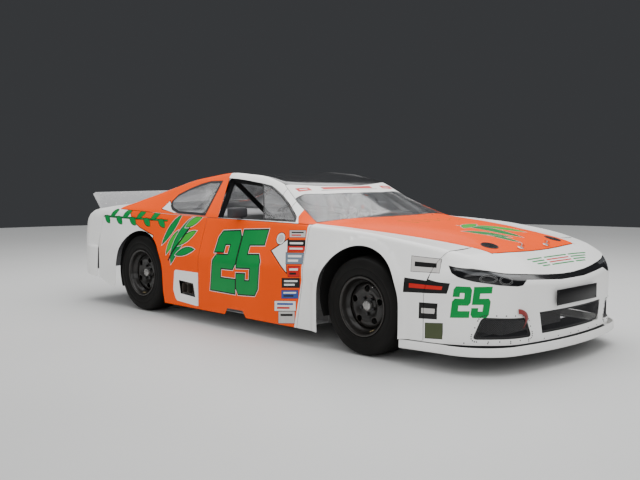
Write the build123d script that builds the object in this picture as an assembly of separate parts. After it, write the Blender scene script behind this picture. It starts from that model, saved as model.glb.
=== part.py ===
from build123d import *

import math
import os

# Stock car: a full-size tube-frame racing coupe with thin body panels.
#
# Frame: +X forward, +Y to the car's left, +Z up, millimetres. The origin is on the ground under the
# middle of the car's length. The body is one outer form, lofted through cross-sections and trimmed by
# a plan outline, hollowed by the same form set in by the skin thickness, and then parted along the
# real panel joints. The chassis, cage, axle, wheels and cockpit stand inside it.

os.makedirs("parts", exist_ok=True)

# ---- driving dimensions, mm -------------------------------------------------------------------
LENGTH = 5080.0
WHEELBASE = 2740.0
FRONT_AXLE_X = 1390.0
REAR_AXLE_X = FRONT_AXLE_X - WHEELBASE
NOSE_X = LENGTH / 2
TAIL_X = -LENGTH / 2
SKIN = 10.0          # body panel thickness
SEAM = 4.0           # gap between fixed panels
LID_GAP = 8.0        # gap round the hood and the deck lid
LID_REAR_GAP = 12.0  # gap behind the deck lid, whose edge swings back as it lifts
LOW, HIGH = -50.0, 1500.0  # heights below and above the whole body, for cutters

TYRE_R = 349.0
TYRE_W = 275.0
BEAD_R = 203.0
RIM_R = 211.0        # outer lip of a 15 inch rim
RIM_W = 262.0
WHEEL_Y = 790.0      # wheel centre plane
KINGPIN_Y = 700.0
AXLE_Z = TYRE_R

# Body sections. sill: bottom edge; mid: widest line; belt: shoulder, fender ridge or window sill;
# rail: hood edge, roof rail or deck edge; crest: shoulder of the crown; top: centre line.
STATIONS = [
    # x,    sill_z, sill_y, mid_y, belt_y, belt_z, rail_y, rail_z, crest_y, crest_z, top_z
    (-2545, 285, 905, 905, 800, 780, 690, 860, 440, 866, 868),
    (-2350, 272, 918, 918, 850, 868, 752, 902, 480, 909, 912),
    (-2060, 250, 945, 945, 872, 898, 755, 938, 480, 944, 946),
    (-1760, 175, 960, 960, 885, 915, 745, 966, 475, 969, 970),
    (-1600, 160, 962, 962, 880, 912, 715, 1022, 460, 1029, 1030),
    (-1330, 150, 965, 965, 872, 905, 664, 1107, 430, 1115, 1117),
    (-950, 120, 960, 960, 862, 896, 612, 1203, 500, 1204, 1202),
    (-460, 120, 960, 960, 856, 890, 560, 1280, 470, 1260, 1254),
    (0, 120, 960, 960, 856, 890, 575, 1250, 480, 1230, 1224),
    (257, 120, 960, 960, 858, 889, 608, 1183, 490, 1190, 1192),
    (530, 120, 960, 960, 862, 888, 695, 1030, 450, 1068, 1092),
    (815, 120, 962, 962, 868, 886, 790, 897, 500, 952, 980),
    (880, 120, 964, 964, 872, 884, 776, 892, 500, 930, 950),
    (950, 120, 966, 967, 872, 884, 766, 886, 490, 918, 927),
    (1050, 120, 968, 971, 872, 882, 748, 880, 480, 916, 924),
    (1390, 122, 975, 975, 872, 866, 684, 850, 450, 899, 908),
    (1760, 184, 968, 965, 858, 822, 611, 815, 400, 864, 872),
    (1900, 184, 962, 957, 842, 801, 583, 799, 385, 836, 842),
    (2050, 184, 952, 948, 800, 770, 554, 783, 370, 801, 806),
    (2215, 184, 945, 945, 745, 737, 522, 750, 350, 756, 757),
    (2440, 184, 940, 940, 780, 572, 480, 602, 310, 608, 610),
    (2550, 184, 935, 935, 740, 490, 450, 528, 290, 534, 536),
]
MID_Z = 560.0        # height of the widest line
ROCKER_Z = 220.0     # fold above the side skirt

# Panel joints.
HOOD_REAR = [(806, 797), (950, 0)]       # (x, y) of the corner and of the centre
GLASS_BASE = [(798, 775), (942, 0)]
HOOD_FRONT = [(2187, 524), (2228, 0)]
ROOF_FRONT = [(262, 600), (350, 0)]
ROOF_REAR = [(-930, 600), (-960, 0)]
DECK_FRONT_X, DECK_REAR_X = -1797.0, -2385.0
GLASS_REAR_X = -1790.0
DOOR_FRONT = [(822, 900), (838, 487), (769, 100)]     # (x, z) down the joint of fender and door
DOOR_REAR_X = -440.0
QUARTER_REAR_X = -2060.0
FASCIA = [(2046, 784), (1993, 690), (1948, 492), (1947, 198), (1911, 100)]
BELT_CUT = [(822, 891), (-460, 893), (-950, 899), (-1330, 908), (-1790, 919)]

ARCH_R = 384.0
FRONT_ARCH = (1380.0, 390.0)
REAR_ARCH = (-1347.0, 352.0)
FRONT_ARCH_FOOT = [(998, 100), (1762, 100)]
REAR_ARCH_FOOT = [(-927, 100), (-1774, 150)]

DOOR_WINDOW = [(-305, 896), (-450, 1222), (-330, 1217), (-190, 1205), (14, 1183), (134, 1166),
               (227, 1132), (322, 1091), (411, 1045), (500, 994), (604, 938), (640, 900)]
QUARTER_WINDOW = [(-480, 902), (-513, 1200), (-680, 1194), (-800, 1168), (-925, 1124), (-1035, 1072),
                  (-1070, 1010), (-1045, 970), (-985, 935), (-870, 906)]
VENT_WINDOW = [(269, 902), (12, 1180), (132, 1162), (225, 1128), (320, 1087), (409, 1041), (498, 990),
               (600, 935), (632, 904)]

NOSE_GRILLE = [(373, 361), (330, 231)]                # (y, z) of the upper and lower corners
CORNER_DUCT = [(490, 224), (800, 230), (755, 350), (530, 352)]
LIGHT_BAND = [(500, 603), (640, 625), (848, 682), (852, 650), (760, 600), (600, 562), (500, 562)]
EXHAUST_HOLE = [(-717, 344), (-511, 333), (-482, 218), (-693, 230)]
JACK_NOTCH = [(-84, 100), (-52, 170), (142, 170), (181, 100)]

SPLITTER_Z, SPLITTER_TOP = 122.0, 180.0
SPOILER_FOOT, SPOILER_TIP = (-2352, 914), (-2487, 1060)
SPOILER_HALF = 750.0

SPLITTER_REAR_X = 1765.0
PLATE = (2521, 2527, -262, 262, 409, 512)
SILL_TOP_Z = 900.0
MIRROR_AT = (-20.0, 862.0, 948.0)

# Chassis.
TUBE_R, BAR_R = 22.0, 20.0
RAIL_Y, RAIL_LOW, RAIL_HIGH = 620.0, 134.0, 234.0
FRONT_RAIL_Y, REAR_RAIL_Y = 360.0, 420.0
RAIL_W = 50.0
FRONT_TIE_DOWN, REAR_TIE_DOWN = (1620.0, 300.0, 200.0), (-2200.0, 480.0, 330.0)
TIE_DOWN_R = 12.0
WELD_GAP = 0.5                                          # between members that are separate solids
LUG_REACH, LUG_HALF = 40.0, 6.0                        # half width and half thickness of a tie-down plate
HOOP = (-480.0, 530.0, 1205.0)                        # main hoop: x, and its upper corners' y and z
DOOR_BAR_Z = (340.0, 500.0, 660.0)
DRIVER_Y = 330.0
STEERING_WHEEL_AT = (190.0, DRIVER_Y, 800.0)
COLUMN_LEAN = 18.0
WHEEL_GRIP_R = 170.0
ENGINE = (880.0, 1340.0, -260.0, 260.0, 240.0, 740.0)
RADIATOR = (2050.0, 2110.0, -330.0, 330.0, 285.0, 640.0)
FUEL_CELL = (-2275.0, -1770.0, -380.0, 380.0, 210.0, 500.0)
HUB_FACE_Y = 834.0
DISC_FACE_Y = 850.0
VENTS, VENT_CIRCLE_R, VENT_R = 5, 122.0, 24.0
SIDES = [("right", -1), ("left", 1)]


# ---- shapes -----------------------------------------------------------------------------------
def fuse(pieces):
    """One solid out of pieces that overlap or touch, added one by one."""
    whole = pieces[0]
    for piece in pieces[1:]:
        whole = whole + piece
    return whole


def block(x0, x1, y0, y1, z0, z1):
    return Pos((x0 + x1) / 2, (y0 + y1) / 2, (z0 + z1) / 2) * Box(x1 - x0, y1 - y0, z1 - z0)


def rod(p, q, r):
    """A round bar from p to q."""
    start, end = Vector(*p), Vector(*q)
    along = end - start
    return Plane(origin=start, z_dir=along) * Cylinder(
        r, along.length, align=(Align.CENTER, Align.CENTER, Align.MIN))


def bars(points, r):
    """Round bars along a chain of points, with a ball at each bend."""
    runs = [rod(p, q, r) for p, q in zip(points, points[1:])]
    return runs + [Pos(*p) * Sphere(r) for p in points[1:-1]]


def prism(face, z0, z1):
    return Pos(0, 0, z0) * extrude(face, z1 - z0, dir=(0, 0, 1))


def side_prism(points, y0, y1):
    """A prism across the car over a closed outline of (x, z) seen from the side."""
    face = make_face(Polyline(*[(x, y0, z) for x, z in points], close=True))
    return extrude(face, y1 - y0, dir=(0, 1, 0))


def shrunk(points, gap):
    """A closed outline of (x, z) with every edge moved in by gap."""
    count = len(points)
    turn = sum(a[0] * b[1] - b[0] * a[1] for a, b in zip(points, points[1:] + points[:1]))
    side = gap if turn > 0 else -gap
    moved = []
    for k in range(count):
        (ax, az), (bx, bz), (cx, cz) = points[k - 1], points[k], points[(k + 1) % count]
        u, v = Vector(bx - ax, bz - az).normalized(), Vector(cx - bx, cz - bz).normalized()
        m = Vector(-u.Y - v.Y, u.X + v.X) * (side / (1 + u.dot(v)))
        moved.append((bx + m.X, bz + m.Y))
    return moved


def front_prism(points, x0, x1):
    """A prism along the car over a closed outline of (y, z) seen from the front."""
    face = make_face(Polyline(*[(x0, y, z) for y, z in points], close=True))
    return extrude(face, x1 - x0, dir=(1, 0, 0))


def turned(outline, centre):
    """A solid of revolution about the Y axis through centre, from (radius, y) points."""
    face = make_face(Polyline(*[(r, y, 0) for r, y in outline], close=True))
    return Pos(*centre) * revolve(face, Axis.Y)


def mirrored(solid):
    return mirror(solid, Plane.XZ)


def both_sides(points):
    """An outline of (y, z) or (x, y) points closed by its own mirror image in y."""
    return points + [(-y, z) for y, z in reversed(points)]


def save(pieces, name):
    """Write one node. Several solids in a node don't touch."""
    pieces = pieces if isinstance(pieces, list) else [pieces]
    solids = [s for piece in pieces for s in piece.solids()]
    export_step(Compound(children=solids), f"parts/{name}.step")


# ---- body form --------------------------------------------------------------------------------
def section_points(row, inset):
    """Half of a section, from the sill to the crest, with the crown's height, set in by inset."""
    _, sill_z, sill_y, mid_y, belt_y, belt_z, rail_y, rail_z, crest_y, crest_z, top_z = row
    mid_z = min(MID_Z, belt_z - 90)
    fold_z = ROCKER_Z if sill_z < ROCKER_Z - 20 else sill_z + 40
    points = [(sill_y, sill_z), (mid_y, fold_z), (mid_y, mid_z), (belt_y, belt_z), (rail_y, rail_z),
              (crest_y, crest_z)]
    if not inset:
        return points, top_z
    chain = [(sill_y, sill_z - 200)] + points[1:] + [(0, top_z)]
    moved = [(chain[0][0] - inset, chain[0][1])]
    for a, b, c in zip(chain, chain[1:], chain[2:]):
        u = Vector(b[0] - a[0], b[1] - a[1]).normalized()
        v = Vector(c[0] - b[0], c[1] - b[1]).normalized()
        n1, n2 = Vector(-u.Y, u.X), Vector(-v.Y, v.X)
        m = (n1 + n2) * (inset / (1 + n1.dot(n2)))
        moved.append((b[0] + m.X, b[1] + m.Y))
    return moved, top_z - inset


def plan_outline(inset=0.0):
    """The body seen from above: nose and tail are arcs, the sides nearly straight."""
    wide = 990.0
    (nx0, ny0), (nx1, ny1), (nx2, ny2), nx3 = (1990, 930), (2310, 775), (2440, 610), NOSE_X - 30
    (tx0, ty0), (tx1, ty1), (tx2, ty2), tx3 = (-2060, 948), (-2330, 915), (-2420, 850), TAIL_X + 8
    edges = [
        Line((1600, wide), (nx0, ny0)),
        ThreePointArc((nx0, ny0), (nx1, ny1), (nx2, ny2)),
        ThreePointArc((nx2, ny2), (nx3, 0), (nx2, -ny2)),
        ThreePointArc((nx2, -ny2), (nx1, -ny1), (nx0, -ny0)),
        Line((nx0, -ny0), (1600, -wide)),
        Line((1600, -wide), (-1600, -wide)),
        Line((-1600, -wide), (tx0, -ty0)),
        ThreePointArc((tx0, -ty0), (tx1, -ty1), (tx2, -ty2)),
        ThreePointArc((tx2, -ty2), (tx3, 0), (tx2, ty2)),
        ThreePointArc((tx2, ty2), (tx1, ty1), (tx0, ty0)),
        Line((tx0, ty0), (-1600, wide)),
        Line((-1600, wide), (1600, wide)),
    ]
    face = Face(Wire(edges))
    return offset(face, -inset) if inset else face


def body_form(inset=0.0):
    """The whole body as one solid; with an inset, the hollow inside it, open below."""
    rings = []
    for row in STATIONS:
        x = row[0]
        half, top_z = section_points(row, inset)
        around = [(x, -y, z) for y, z in reversed(half)] + [(x, y, z) for y, z in half]
        edges = [Edge.make_line(a, b) for a, b in zip(around, around[1:])]
        crown = Edge.make_three_point_arc(around[-1], (x, 0, top_z), around[0])
        rings.append(Wire(edges + [crown]))
    return Solid.make_loft(rings, ruled=True) & prism(plan_outline(inset), -300, HIGH)


def rail_points(x0, x1, margin):
    """(x, y) down the rail line between two stations, set in by margin."""
    return [(row[0], row[6] - margin) for row in STATIONS if x0 < row[0] < x1]


def lid_face(rear, front, side, grow=0.0):
    """A plan outline with bowed ends: rear and front are a corner and a centre point."""
    (rx, ry), (rc, _) = rear
    (fx, fy), (fc, _) = front
    sides = [(rx, ry)] + side + [(fx, fy)]
    edges = [Line(a, b) for a, b in zip(sides, sides[1:])]
    edges += [Line((a[0], -a[1]), (b[0], -b[1])) for a, b in zip(sides, sides[1:])]
    for x, y, bow in ((fx, fy, fc), (rx, ry, rc)):
        edges.append(Line((x, y), (x, -y)) if bow == x else ThreePointArc((x, y), (bow, 0), (x, -y)))
    face = Face(Wire(edges))
    return offset(face, grow, kind=Kind.INTERSECTION) if grow else face


def arch_cutter(centre, feet):
    """A wheel arch: a round top over straight sides, cut through both flanks."""
    x, z = centre
    (ax, az), (bx, bz) = feet
    lower = side_prism([(x - ARCH_R, z), (x + ARCH_R, z), (bx, bz), (ax, az)]
                       if ax < bx else [(x + ARCH_R, z), (x - ARCH_R, z), (bx, bz), (ax, az)], -1000, 1000)
    drum = Pos(x, 0, z) * Rot(90, 0, 0) * Cylinder(ARCH_R, 2000)
    return fuse([lower, drum])


def make_body(form):
    """Every body panel, cut from one shell. Returns a dictionary of name and solids."""
    shell = form - body_form(SKIN)
    hood = lid_face(HOOD_REAR, HOOD_FRONT, rail_points(880, 2100, 4))
    glass = lid_face(ROOF_FRONT, GLASS_BASE, rail_points(260, 600, 8))
    rear_glass = lid_face([(GLASS_REAR_X, 730), (GLASS_REAR_X, 0)], ROOF_REAR,
                          rail_points(-1700, -960, 10))
    deck = lid_face([(DECK_REAR_X, 742), (DECK_REAR_X, 0)], [(DECK_FRONT_X, 735), (DECK_FRONT_X, 0)],
                    rail_points(-2100, -2000, 6))
    deck_hole = lid_face([(DECK_REAR_X - LID_REAR_GAP, 750), (DECK_REAR_X - LID_REAR_GAP, 0)],
                         [(DECK_FRONT_X + LID_GAP, 743), (DECK_FRONT_X + LID_GAP, 0)],
                         rail_points(-2100, -2000, -2))
    panels = {
        "hood": shell & prism(hood, 500, HIGH),
        "windshield": shell & prism(glass, 800, HIGH),
        "rear_window": shell & prism(rear_glass, 900, HIGH),
        "deck_lid": shell & prism(deck, 800, HIGH),
    }
    rest = shell - prism(offset(hood, LID_GAP), 500, HIGH) - prism(offset(glass, SEAM), 800, HIGH)
    rest = rest - prism(offset(rear_glass, SEAM), 900, HIGH) - prism(deck_hole, 800, HIGH)

    half_seam = SEAM / 2
    above = BELT_CUT + [(-1790, HIGH), (822, HIGH)]
    greenhouse = rest & side_prism([(x, z + (half_seam if z < HIGH else 0)) for x, z in above],
                                   -1000, 1000)
    quarter_pane = side_prism(shrunk(QUARTER_WINDOW, SEAM), -1000, 1000)
    panels["side_windows"] = [*(greenhouse & quarter_pane).solids(),
                              *(greenhouse & side_prism(VENT_WINDOW, -1000, 1000)).solids()]
    for outline in (DOOR_WINDOW, QUARTER_WINDOW):
        greenhouse = greenhouse - side_prism(outline, -1000, 1000)
    panels["roof_and_pillars"] = greenhouse

    lower = rest - side_prism([(x, z - (half_seam if z < HIGH else 0)) for x, z in above], -1000, 1000)
    lower = lower - arch_cutter(FRONT_ARCH, FRONT_ARCH_FOOT) - arch_cutter(REAR_ARCH, REAR_ARCH_FOOT)
    lower = lower - side_prism(JACK_NOTCH, -1000, 1000) - side_prism(EXHAUST_HOLE, -1000, 1000)

    def strip(front, rear, gap=half_seam):
        """The lower body between two joints, each a list of (x, z) from the top down."""
        ahead = [(x - gap, z) for x, z in front]
        behind = [(x + gap, z) for x, z in rear]
        outline = [(ahead[0][0], HIGH)] + ahead + [(ahead[-1][0], LOW)]
        outline += [(behind[-1][0], LOW)] + behind[::-1] + [(behind[0][0], HIGH)]
        return lower & side_prism(outline, -1000, 1000)

    nose_end = [(NOSE_X + 50, 500), (NOSE_X + 50, 400)]
    tail_end = [(TAIL_X - 50, 500), (TAIL_X - 50, 400)]
    upright = {x: [(x, 600), (x, 500)] for x in (DOOR_REAR_X, QUARTER_REAR_X)}
    nose = strip(nose_end, FASCIA)
    wings = strip(FASCIA, DOOR_FRONT)
    doors = strip(DOOR_FRONT, upright[DOOR_REAR_X])
    quarters = strip(upright[DOOR_REAR_X], upright[QUARTER_REAR_X])
    panels["rear_bumper"] = strip(upright[QUARTER_REAR_X], tail_end)

    mouth = both_sides(NOSE_GRILLE)
    band = both_sides(LIGHT_BAND)
    openings = [front_prism(mouth, 1900, 2600), front_prism(CORNER_DUCT, 2100, 2600),
                mirrored(front_prism(CORNER_DUCT, 2100, 2600)), front_prism(band, 1900, 2600)]
    screens = []
    for cutter, name in zip(openings, ("screen", "screen", "screen", "light_band")):
        filler = Pos(-1.5 * SKIN, 0, 0) * (nose & cutter)
        if name == "screen":
            screens += list(filler.solids())
        else:
            panels["light_band"] = filler
    panels["grille_screens"] = screens
    for cutter in openings:
        nose = nose - cutter
    panels["front_bumper"] = nose

    for name, sign in SIDES:
        half = block(-3000, 3000, 100 if sign > 0 else -1100, 1100 if sign > 0 else -100, LOW, HIGH)
        panels[f"fender_{name}"] = wings & half
        panels[f"door_panel_{name}"] = doors & half
        panels[f"quarter_panel_{name}"] = quarters & half
    return panels


# ---- aero and trim ----------------------------------------------------------------------------
def make_splitter():
    """A flat tray under the nose with a raised lip round its edge."""
    def tray(inset):
        points = [(2080, 920), (2330, 835), (2460, 655)]
        rim = [Line((SPLITTER_REAR_X, 968), points[0]), ThreePointArc(*points),
               ThreePointArc((2460, 655), (NOSE_X, 0), (2460, -655)),
               ThreePointArc(*[(x, -y) for x, y in reversed(points)]),
               Line((2080, -920), (SPLITTER_REAR_X, -968)),
               Line((SPLITTER_REAR_X, -968), (SPLITTER_REAR_X, 968))]
        face = Face(Wire(rim))
        return offset(face, -inset) if inset else face
    plate = prism(tray(0), SPLITTER_Z, SPLITTER_Z + SKIN)
    lip = prism(tray(0), SPLITTER_Z, SPLITTER_TOP) - prism(tray(SKIN), LOW, HIGH)
    lip = lip - block(SPLITTER_REAR_X - 50, SPLITTER_REAR_X + 2 * SKIN, -940, 940, LOW, HIGH)
    tyre_well = block(SPLITTER_REAR_X - 50, 1960, -935, 935, LOW, HIGH)
    return fuse([plate - tyre_well, lip])


def make_spoiler(form):
    """A flat blade across the tail on a foot that sits on the deck lid's crown."""
    (x0, z0), (x1, z1) = SPOILER_FOOT, SPOILER_TIP
    blade = side_prism([(x0, z0 + 4), (x0 - 6, z0 + 4), (x1 - 6, z1), (x1, z1)],
                       -SPOILER_HALF, SPOILER_HALF)
    foot = side_prism([(x0 + 25, z0 - 20), (x0 - 6, z0 - 20), (x0 - 6, z0 + 9), (x0 + 25, z0 + 9)],
                      -SPOILER_HALF + 60, SPOILER_HALF - 60)
    return fuse([blade, foot]) - form


def make_mirrors():
    """A box mirror on a short stalk at each window sill."""
    x, y, z = MIRROR_AT
    box = block(x - 35, x + 35, -y - 90, -y + 90, z - 45, z + 45)
    glass_well = block(x - 36, x - 27, -y - 80, -y + 80, z - 37, z + 37)
    stalk = rod((x, -y + 60, z - 60), (x, -y + 60, z), 9)
    return fuse([box - glass_well, stalk - block(x - 50, x + 50, -y, 0, LOW, SILL_TOP_Z)])


def make_exhaust():
    """A flat twin outlet from behind the frame rail to the opening in the flank."""
    outer = block(-690, -525, -946, -660, 236, 326)
    bore_a = block(-682, -612, -950, -650, 244, 318)
    bore_b = block(-603, -533, -950, -650, 244, 318)
    return outer - bore_a - bore_b


# ---- chassis ----------------------------------------------------------------------------------
def make_frame():
    """Perimeter rails with a rear clip that rises over the axle."""
    half = RAIL_W / 2
    rear = [(-840, 134), (-900, 134), (-1150, 470), (-1550, 470), (-1720, 300), (-2340, 300),
            (-2340, 380), (-1750, 380), (-1570, 560), (-1130, 560), (-870, 234), (-840, 234)]
    pieces = [block(740, 800, -RAIL_Y - half, RAIL_Y + half, RAIL_LOW, RAIL_HIGH),
              block(-900, -840, -RAIL_Y - half, RAIL_Y + half, RAIL_LOW, RAIL_HIGH),
              block(-2340, -2290, -REAR_RAIL_Y, REAR_RAIL_Y, 300, 380),
              block(-1690, -1640, -REAR_RAIL_Y, REAR_RAIL_Y, 300, 370)]
    for sign in (-1, 1):
        y = sign * RAIL_Y
        pieces.append(block(-900, 800, y - half, y + half, RAIL_LOW, RAIL_HIGH))
        y = sign * REAR_RAIL_Y
        pieces.append(side_prism(rear, y - half, y + half))
        pieces.append(lug(REAR_TIE_DOWN, sign))
    frame = fuse(pieces)
    for sign in (-1, 1):
        frame = frame - lug_hole(REAR_TIE_DOWN, sign)
    return frame


def clip_braces(r):
    """The bracing tubes over the front rails, as bars of one radius that stand on the rails."""
    tubes = []
    for sign in (-1, 1):
        tubes += bars([(830, sign * 560, RAIL_HIGH - 10 + WELD_GAP), (830, sign * 560, 780), (1500, sign * 400, 640),
                       (2155, sign * FRONT_RAIL_Y, 480), (2155, sign * FRONT_RAIL_Y, 280 + WELD_GAP)], r)
    return tubes + [rod((830, -560, 780), (830, 560, 780), r),
                    rod((2155, -FRONT_RAIL_Y, 480), (2155, FRONT_RAIL_Y, 480), r)]


def make_front_clip():
    """The rails, towers and cross members that carry the engine and the front wheels, and the braces."""
    half = RAIL_W / 2
    near, far = FRONT_RAIL_Y - half - WELD_GAP, FRONT_RAIL_Y + half + WELD_GAP
    line = [(802, 134), (820, 134), (1000, 180), (2180, 180), (2180, 280), (980, 280), (802, 234)]
    braces = fuse(clip_braces(TUBE_R + WELD_GAP))
    solids = [fuse(clip_braces(TUBE_R)), block(802, 850, -near, near, 180, RAIL_HIGH - 10),
              block(1350, 1430, -near, near, 180, 230), block(2130, 2180, -near, near, 180, 280)]
    for sign in (-1, 1):
        y = sign * FRONT_RAIL_Y
        rail = fuse([side_prism(line, y - half, y + half), lug(FRONT_TIE_DOWN, sign)])
        tower = fuse([block(FRONT_AXLE_X - 170, FRONT_AXLE_X + 170,
                            *sorted((sign * (FRONT_RAIL_Y + 5), sign * (FRONT_RAIL_Y + 20))), 270, 500),
                      rod((1500, sign * 400, 640), (1500, y, 250), TUBE_R)])
        over_rail = block(FRONT_AXLE_X - 200, FRONT_AXLE_X + 200, -450, 450, 200, 280 + WELD_GAP)
        solids += [rail - lug_hole(FRONT_TIE_DOWN, sign), tower - over_rail - braces,
                   block(802, 850, *sorted((sign * far, sign * 590)), 180, RAIL_HIGH - 10)]
    return solids


def lug(place, sign):
    """A flat tie-down plate on the inner face of a frame rail."""
    x, y, z = place
    inner, outer = sorted((sign * (y - LUG_REACH), sign * (y + LUG_REACH)))
    return block(x - 35, x + 35, inner, outer, z - LUG_HALF, z + LUG_HALF)


def lug_hole(place, sign):
    x, y, z = place
    return rod((x, sign * y, z - 2 * LUG_HALF), (x, sign * y, z + 2 * LUG_HALF), TIE_DOWN_R)


def hoop_bars(r):
    """The main hoop behind the seat, with its cross bar and diagonal, as bars of one radius."""
    hoop_x, top_y, top_z = HOOP
    foot_z = RAIL_HIGH + 24
    pieces = []
    for sign in (-1, 1):
        pieces += bars([(hoop_x, sign * 630, foot_z), (hoop_x, sign * 720, 800), (hoop_x, sign * top_y, top_z)], r)
        pieces.append(Pos(hoop_x, sign * top_y, top_z) * Sphere(r))
    return pieces + [rod((hoop_x, -top_y, top_z), (hoop_x, top_y, top_z), r),
                     rod((hoop_x, -720, 800), (hoop_x, 720, 800), r),
                     rod((hoop_x, 640, foot_z + 5), (hoop_x, -top_y, top_z), r)]


def make_hoop():
    """The main hoop on its two foot plates."""
    feet = [block(HOOP[0] - 30, HOOP[0] + 30, s * 630 - 30, s * 630 + 30, RAIL_HIGH, RAIL_HIGH + 32)
            for s in (-1, 1)]
    return fuse(hoop_bars(TUBE_R) + feet)


def make_cage():
    """Roof halo, windscreen legs and the rear stays, welded up to the main hoop."""
    hoop_x, top_y, top_z = HOOP
    foot_z = RAIL_HIGH + 24
    pieces = []
    for sign in (-1, 1):
        shoulder = (hoop_x, sign * top_y, top_z)
        screen, dash = (190, sign * 545, 1150), (700, sign * 690, 850)
        front_foot = (715, sign * 630, foot_z)
        pieces.append(block(685, 745, sign * 630 - 30, sign * 630 + 30, RAIL_HIGH, foot_z + 8))
        pieces += bars([shoulder, screen, dash, front_foot], TUBE_R)
    pieces += [rod((190, -545, 1150), (190, 545, 1150), TUBE_R),
               rod((700, -690, 850), (700, 690, 850), TUBE_R),
               rod((hoop_x, -top_y, top_z), (190, 0, 1150), TUBE_R)]
    stays = [fuse([rod((hoop_x, sign * top_y, top_z), (-1440, sign * REAR_RAIL_Y, 588), TUBE_R),
                   block(-1480, -1400, *sorted((sign * 395, sign * 445)), 560, 605)]) for sign in (-1, 1)]
    return [part - fuse(hoop_bars(TUBE_R + WELD_GAP)) for part in [fuse(pieces)] + stays]


def make_door_bars():
    """Three bowed bars with uprights beside the right door."""
    pieces = []
    for z in DOOR_BAR_Z:
        rise = (z - RAIL_HIGH - 24) / 590
        back = (HOOP[0] + 28, -644 - 98 * rise, z)
        ahead = (660, -644 - 60 * rise, z)
        pieces += bars([back, (-280, -820, z), (480, -820, z), ahead], BAR_R)
    for x in (-260, 100, 460):
        pieces.append(rod((x, -820, DOOR_BAR_Z[0]), (x, -820, DOOR_BAR_Z[-1]), BAR_R - 3))
    return fuse(pieces)


def rear_stay_slots():
    """Clearance round the cage's rear stays, where they pass through the parcel shelf."""
    hoop_x, top_y, top_z = HOOP
    return [rod((hoop_x, s * top_y, top_z), (-1440, s * REAR_RAIL_Y, 588), TUBE_R + 8) for s in (-1, 1)]


def make_bulkhead():
    """The sheet behind the seat, with the shelf under the rear window."""
    wall = front_prism(both_sides([(850, RAIL_HIGH), (850, 872)]), -704, -700)
    shelf = block(-1775, -700, -820, 820, 868, 872)
    sheet = fuse([wall, shelf])
    for slot in rear_stay_slots():
        sheet = sheet - slot
    return sheet


def make_seat():
    """A racing bucket: base, leaning back, side wings and head wings."""
    y = DRIVER_Y
    back_low, back_high = (-300, 190), (-400, 920)
    base = block(-330, 130, y - 215, y + 215, 180, 215)
    back = side_prism([(back_low[0], 180), (back_high[0], back_high[1]), (back_high[0] - 35, 920),
                       (back_low[0] - 35, 180)], y - 215, y + 215)
    pieces = [base, back]
    for sign in (-1, 1):
        inner = y + sign * 215
        edge = sorted((inner, inner + sign * 20))
        side = side_prism([(-330, 180), (130, 180), (130, 300), (-120, 340), (-240, 620), (-370, 640)],
                          *edge)
        head = side_prism([(-385, 740), (-180, 770), (-180, 880), (-410, 915)], *edge)
        pieces += [side, head]
    return fuse(pieces)


def make_dashboard():
    """The instrument panel, its top, and the sleeve that carries the steering column."""
    panel = block(520, 530, -600, 600, 660, 832)
    top = block(520, 660, -600, 600, 824, 832)
    wx, wy, wz = STEERING_WHEEL_AT
    lean = math.radians(COLUMN_LEAN)
    def along(d):
        return (wx + d * math.cos(lean), wy, wz - d * math.sin(lean))
    sleeve = rod(along(230), along(360), 30)
    return fuse([panel, top, sleeve]) - rod(along(200), along(400), 20)


def make_steering_wheel():
    wx, wy, wz = STEERING_WHEEL_AT
    ring = Torus(WHEEL_GRIP_R, 14)
    hub = Cylinder(38, 26)
    column = Pos(0, 0, -150) * Cylinder(13, 300)
    spokes = [Rot(0, 0, a) * Pos(WHEEL_GRIP_R / 2, 0, 0) * Box(WHEEL_GRIP_R, 34, 8) for a in (-20, 200, 90)]
    whole = fuse([ring, hub, column] + spokes)
    return Pos(wx, wy, wz) * Rot(0, -90 + COLUMN_LEAN, 0) * whole


# ---- suspension and wheels --------------------------------------------------------------------
def make_knuckle(sign):
    """A front upright with its brake disc, caliper, spindle and steering arm."""
    def y(value):
        return sign * value
    x = FRONT_AXLE_X
    def slab(x0, x1, y0, y1, z0, z1):
        lo, hi = sorted((y(y0), y(y1)))
        return block(x0, x1, lo, hi, z0, z1)
    pieces = [slab(x - 30, x + 30, 685, 725, 215, 485),
              rod((x, y(725), AXLE_Z), (x, y(HUB_FACE_Y), AXLE_Z), 45),
              rod((x, y(735), AXLE_Z), (x, y(765), AXLE_Z), 145),
              rod((x, y(715), AXLE_Z), (x, y(740), AXLE_Z), 80),
              slab(x - 145, x - 85, 722, 778, AXLE_Z - 50, AXLE_Z + 50),
              slab(x - 110, x - 20, 700, 725, 300, 340)]
    return fuse(pieces)


def make_control_arms():
    """Lower and upper wishbones, with the steering rack between the front rails."""
    pieces = []
    for sign in (-1, 1):
        for z, tip in ((205, 203), (470, 497)):
            ball = (FRONT_AXLE_X, sign * 668, tip)
            inner = [(FRONT_AXLE_X + dx, sign * (FRONT_RAIL_Y + RAIL_W / 2 + 8), z) for dx in (-150, 150)]
            arm = bars([inner[0], ball, inner[1]], 13)
            pieces.append(fuse(arm))
    return pieces


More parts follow.
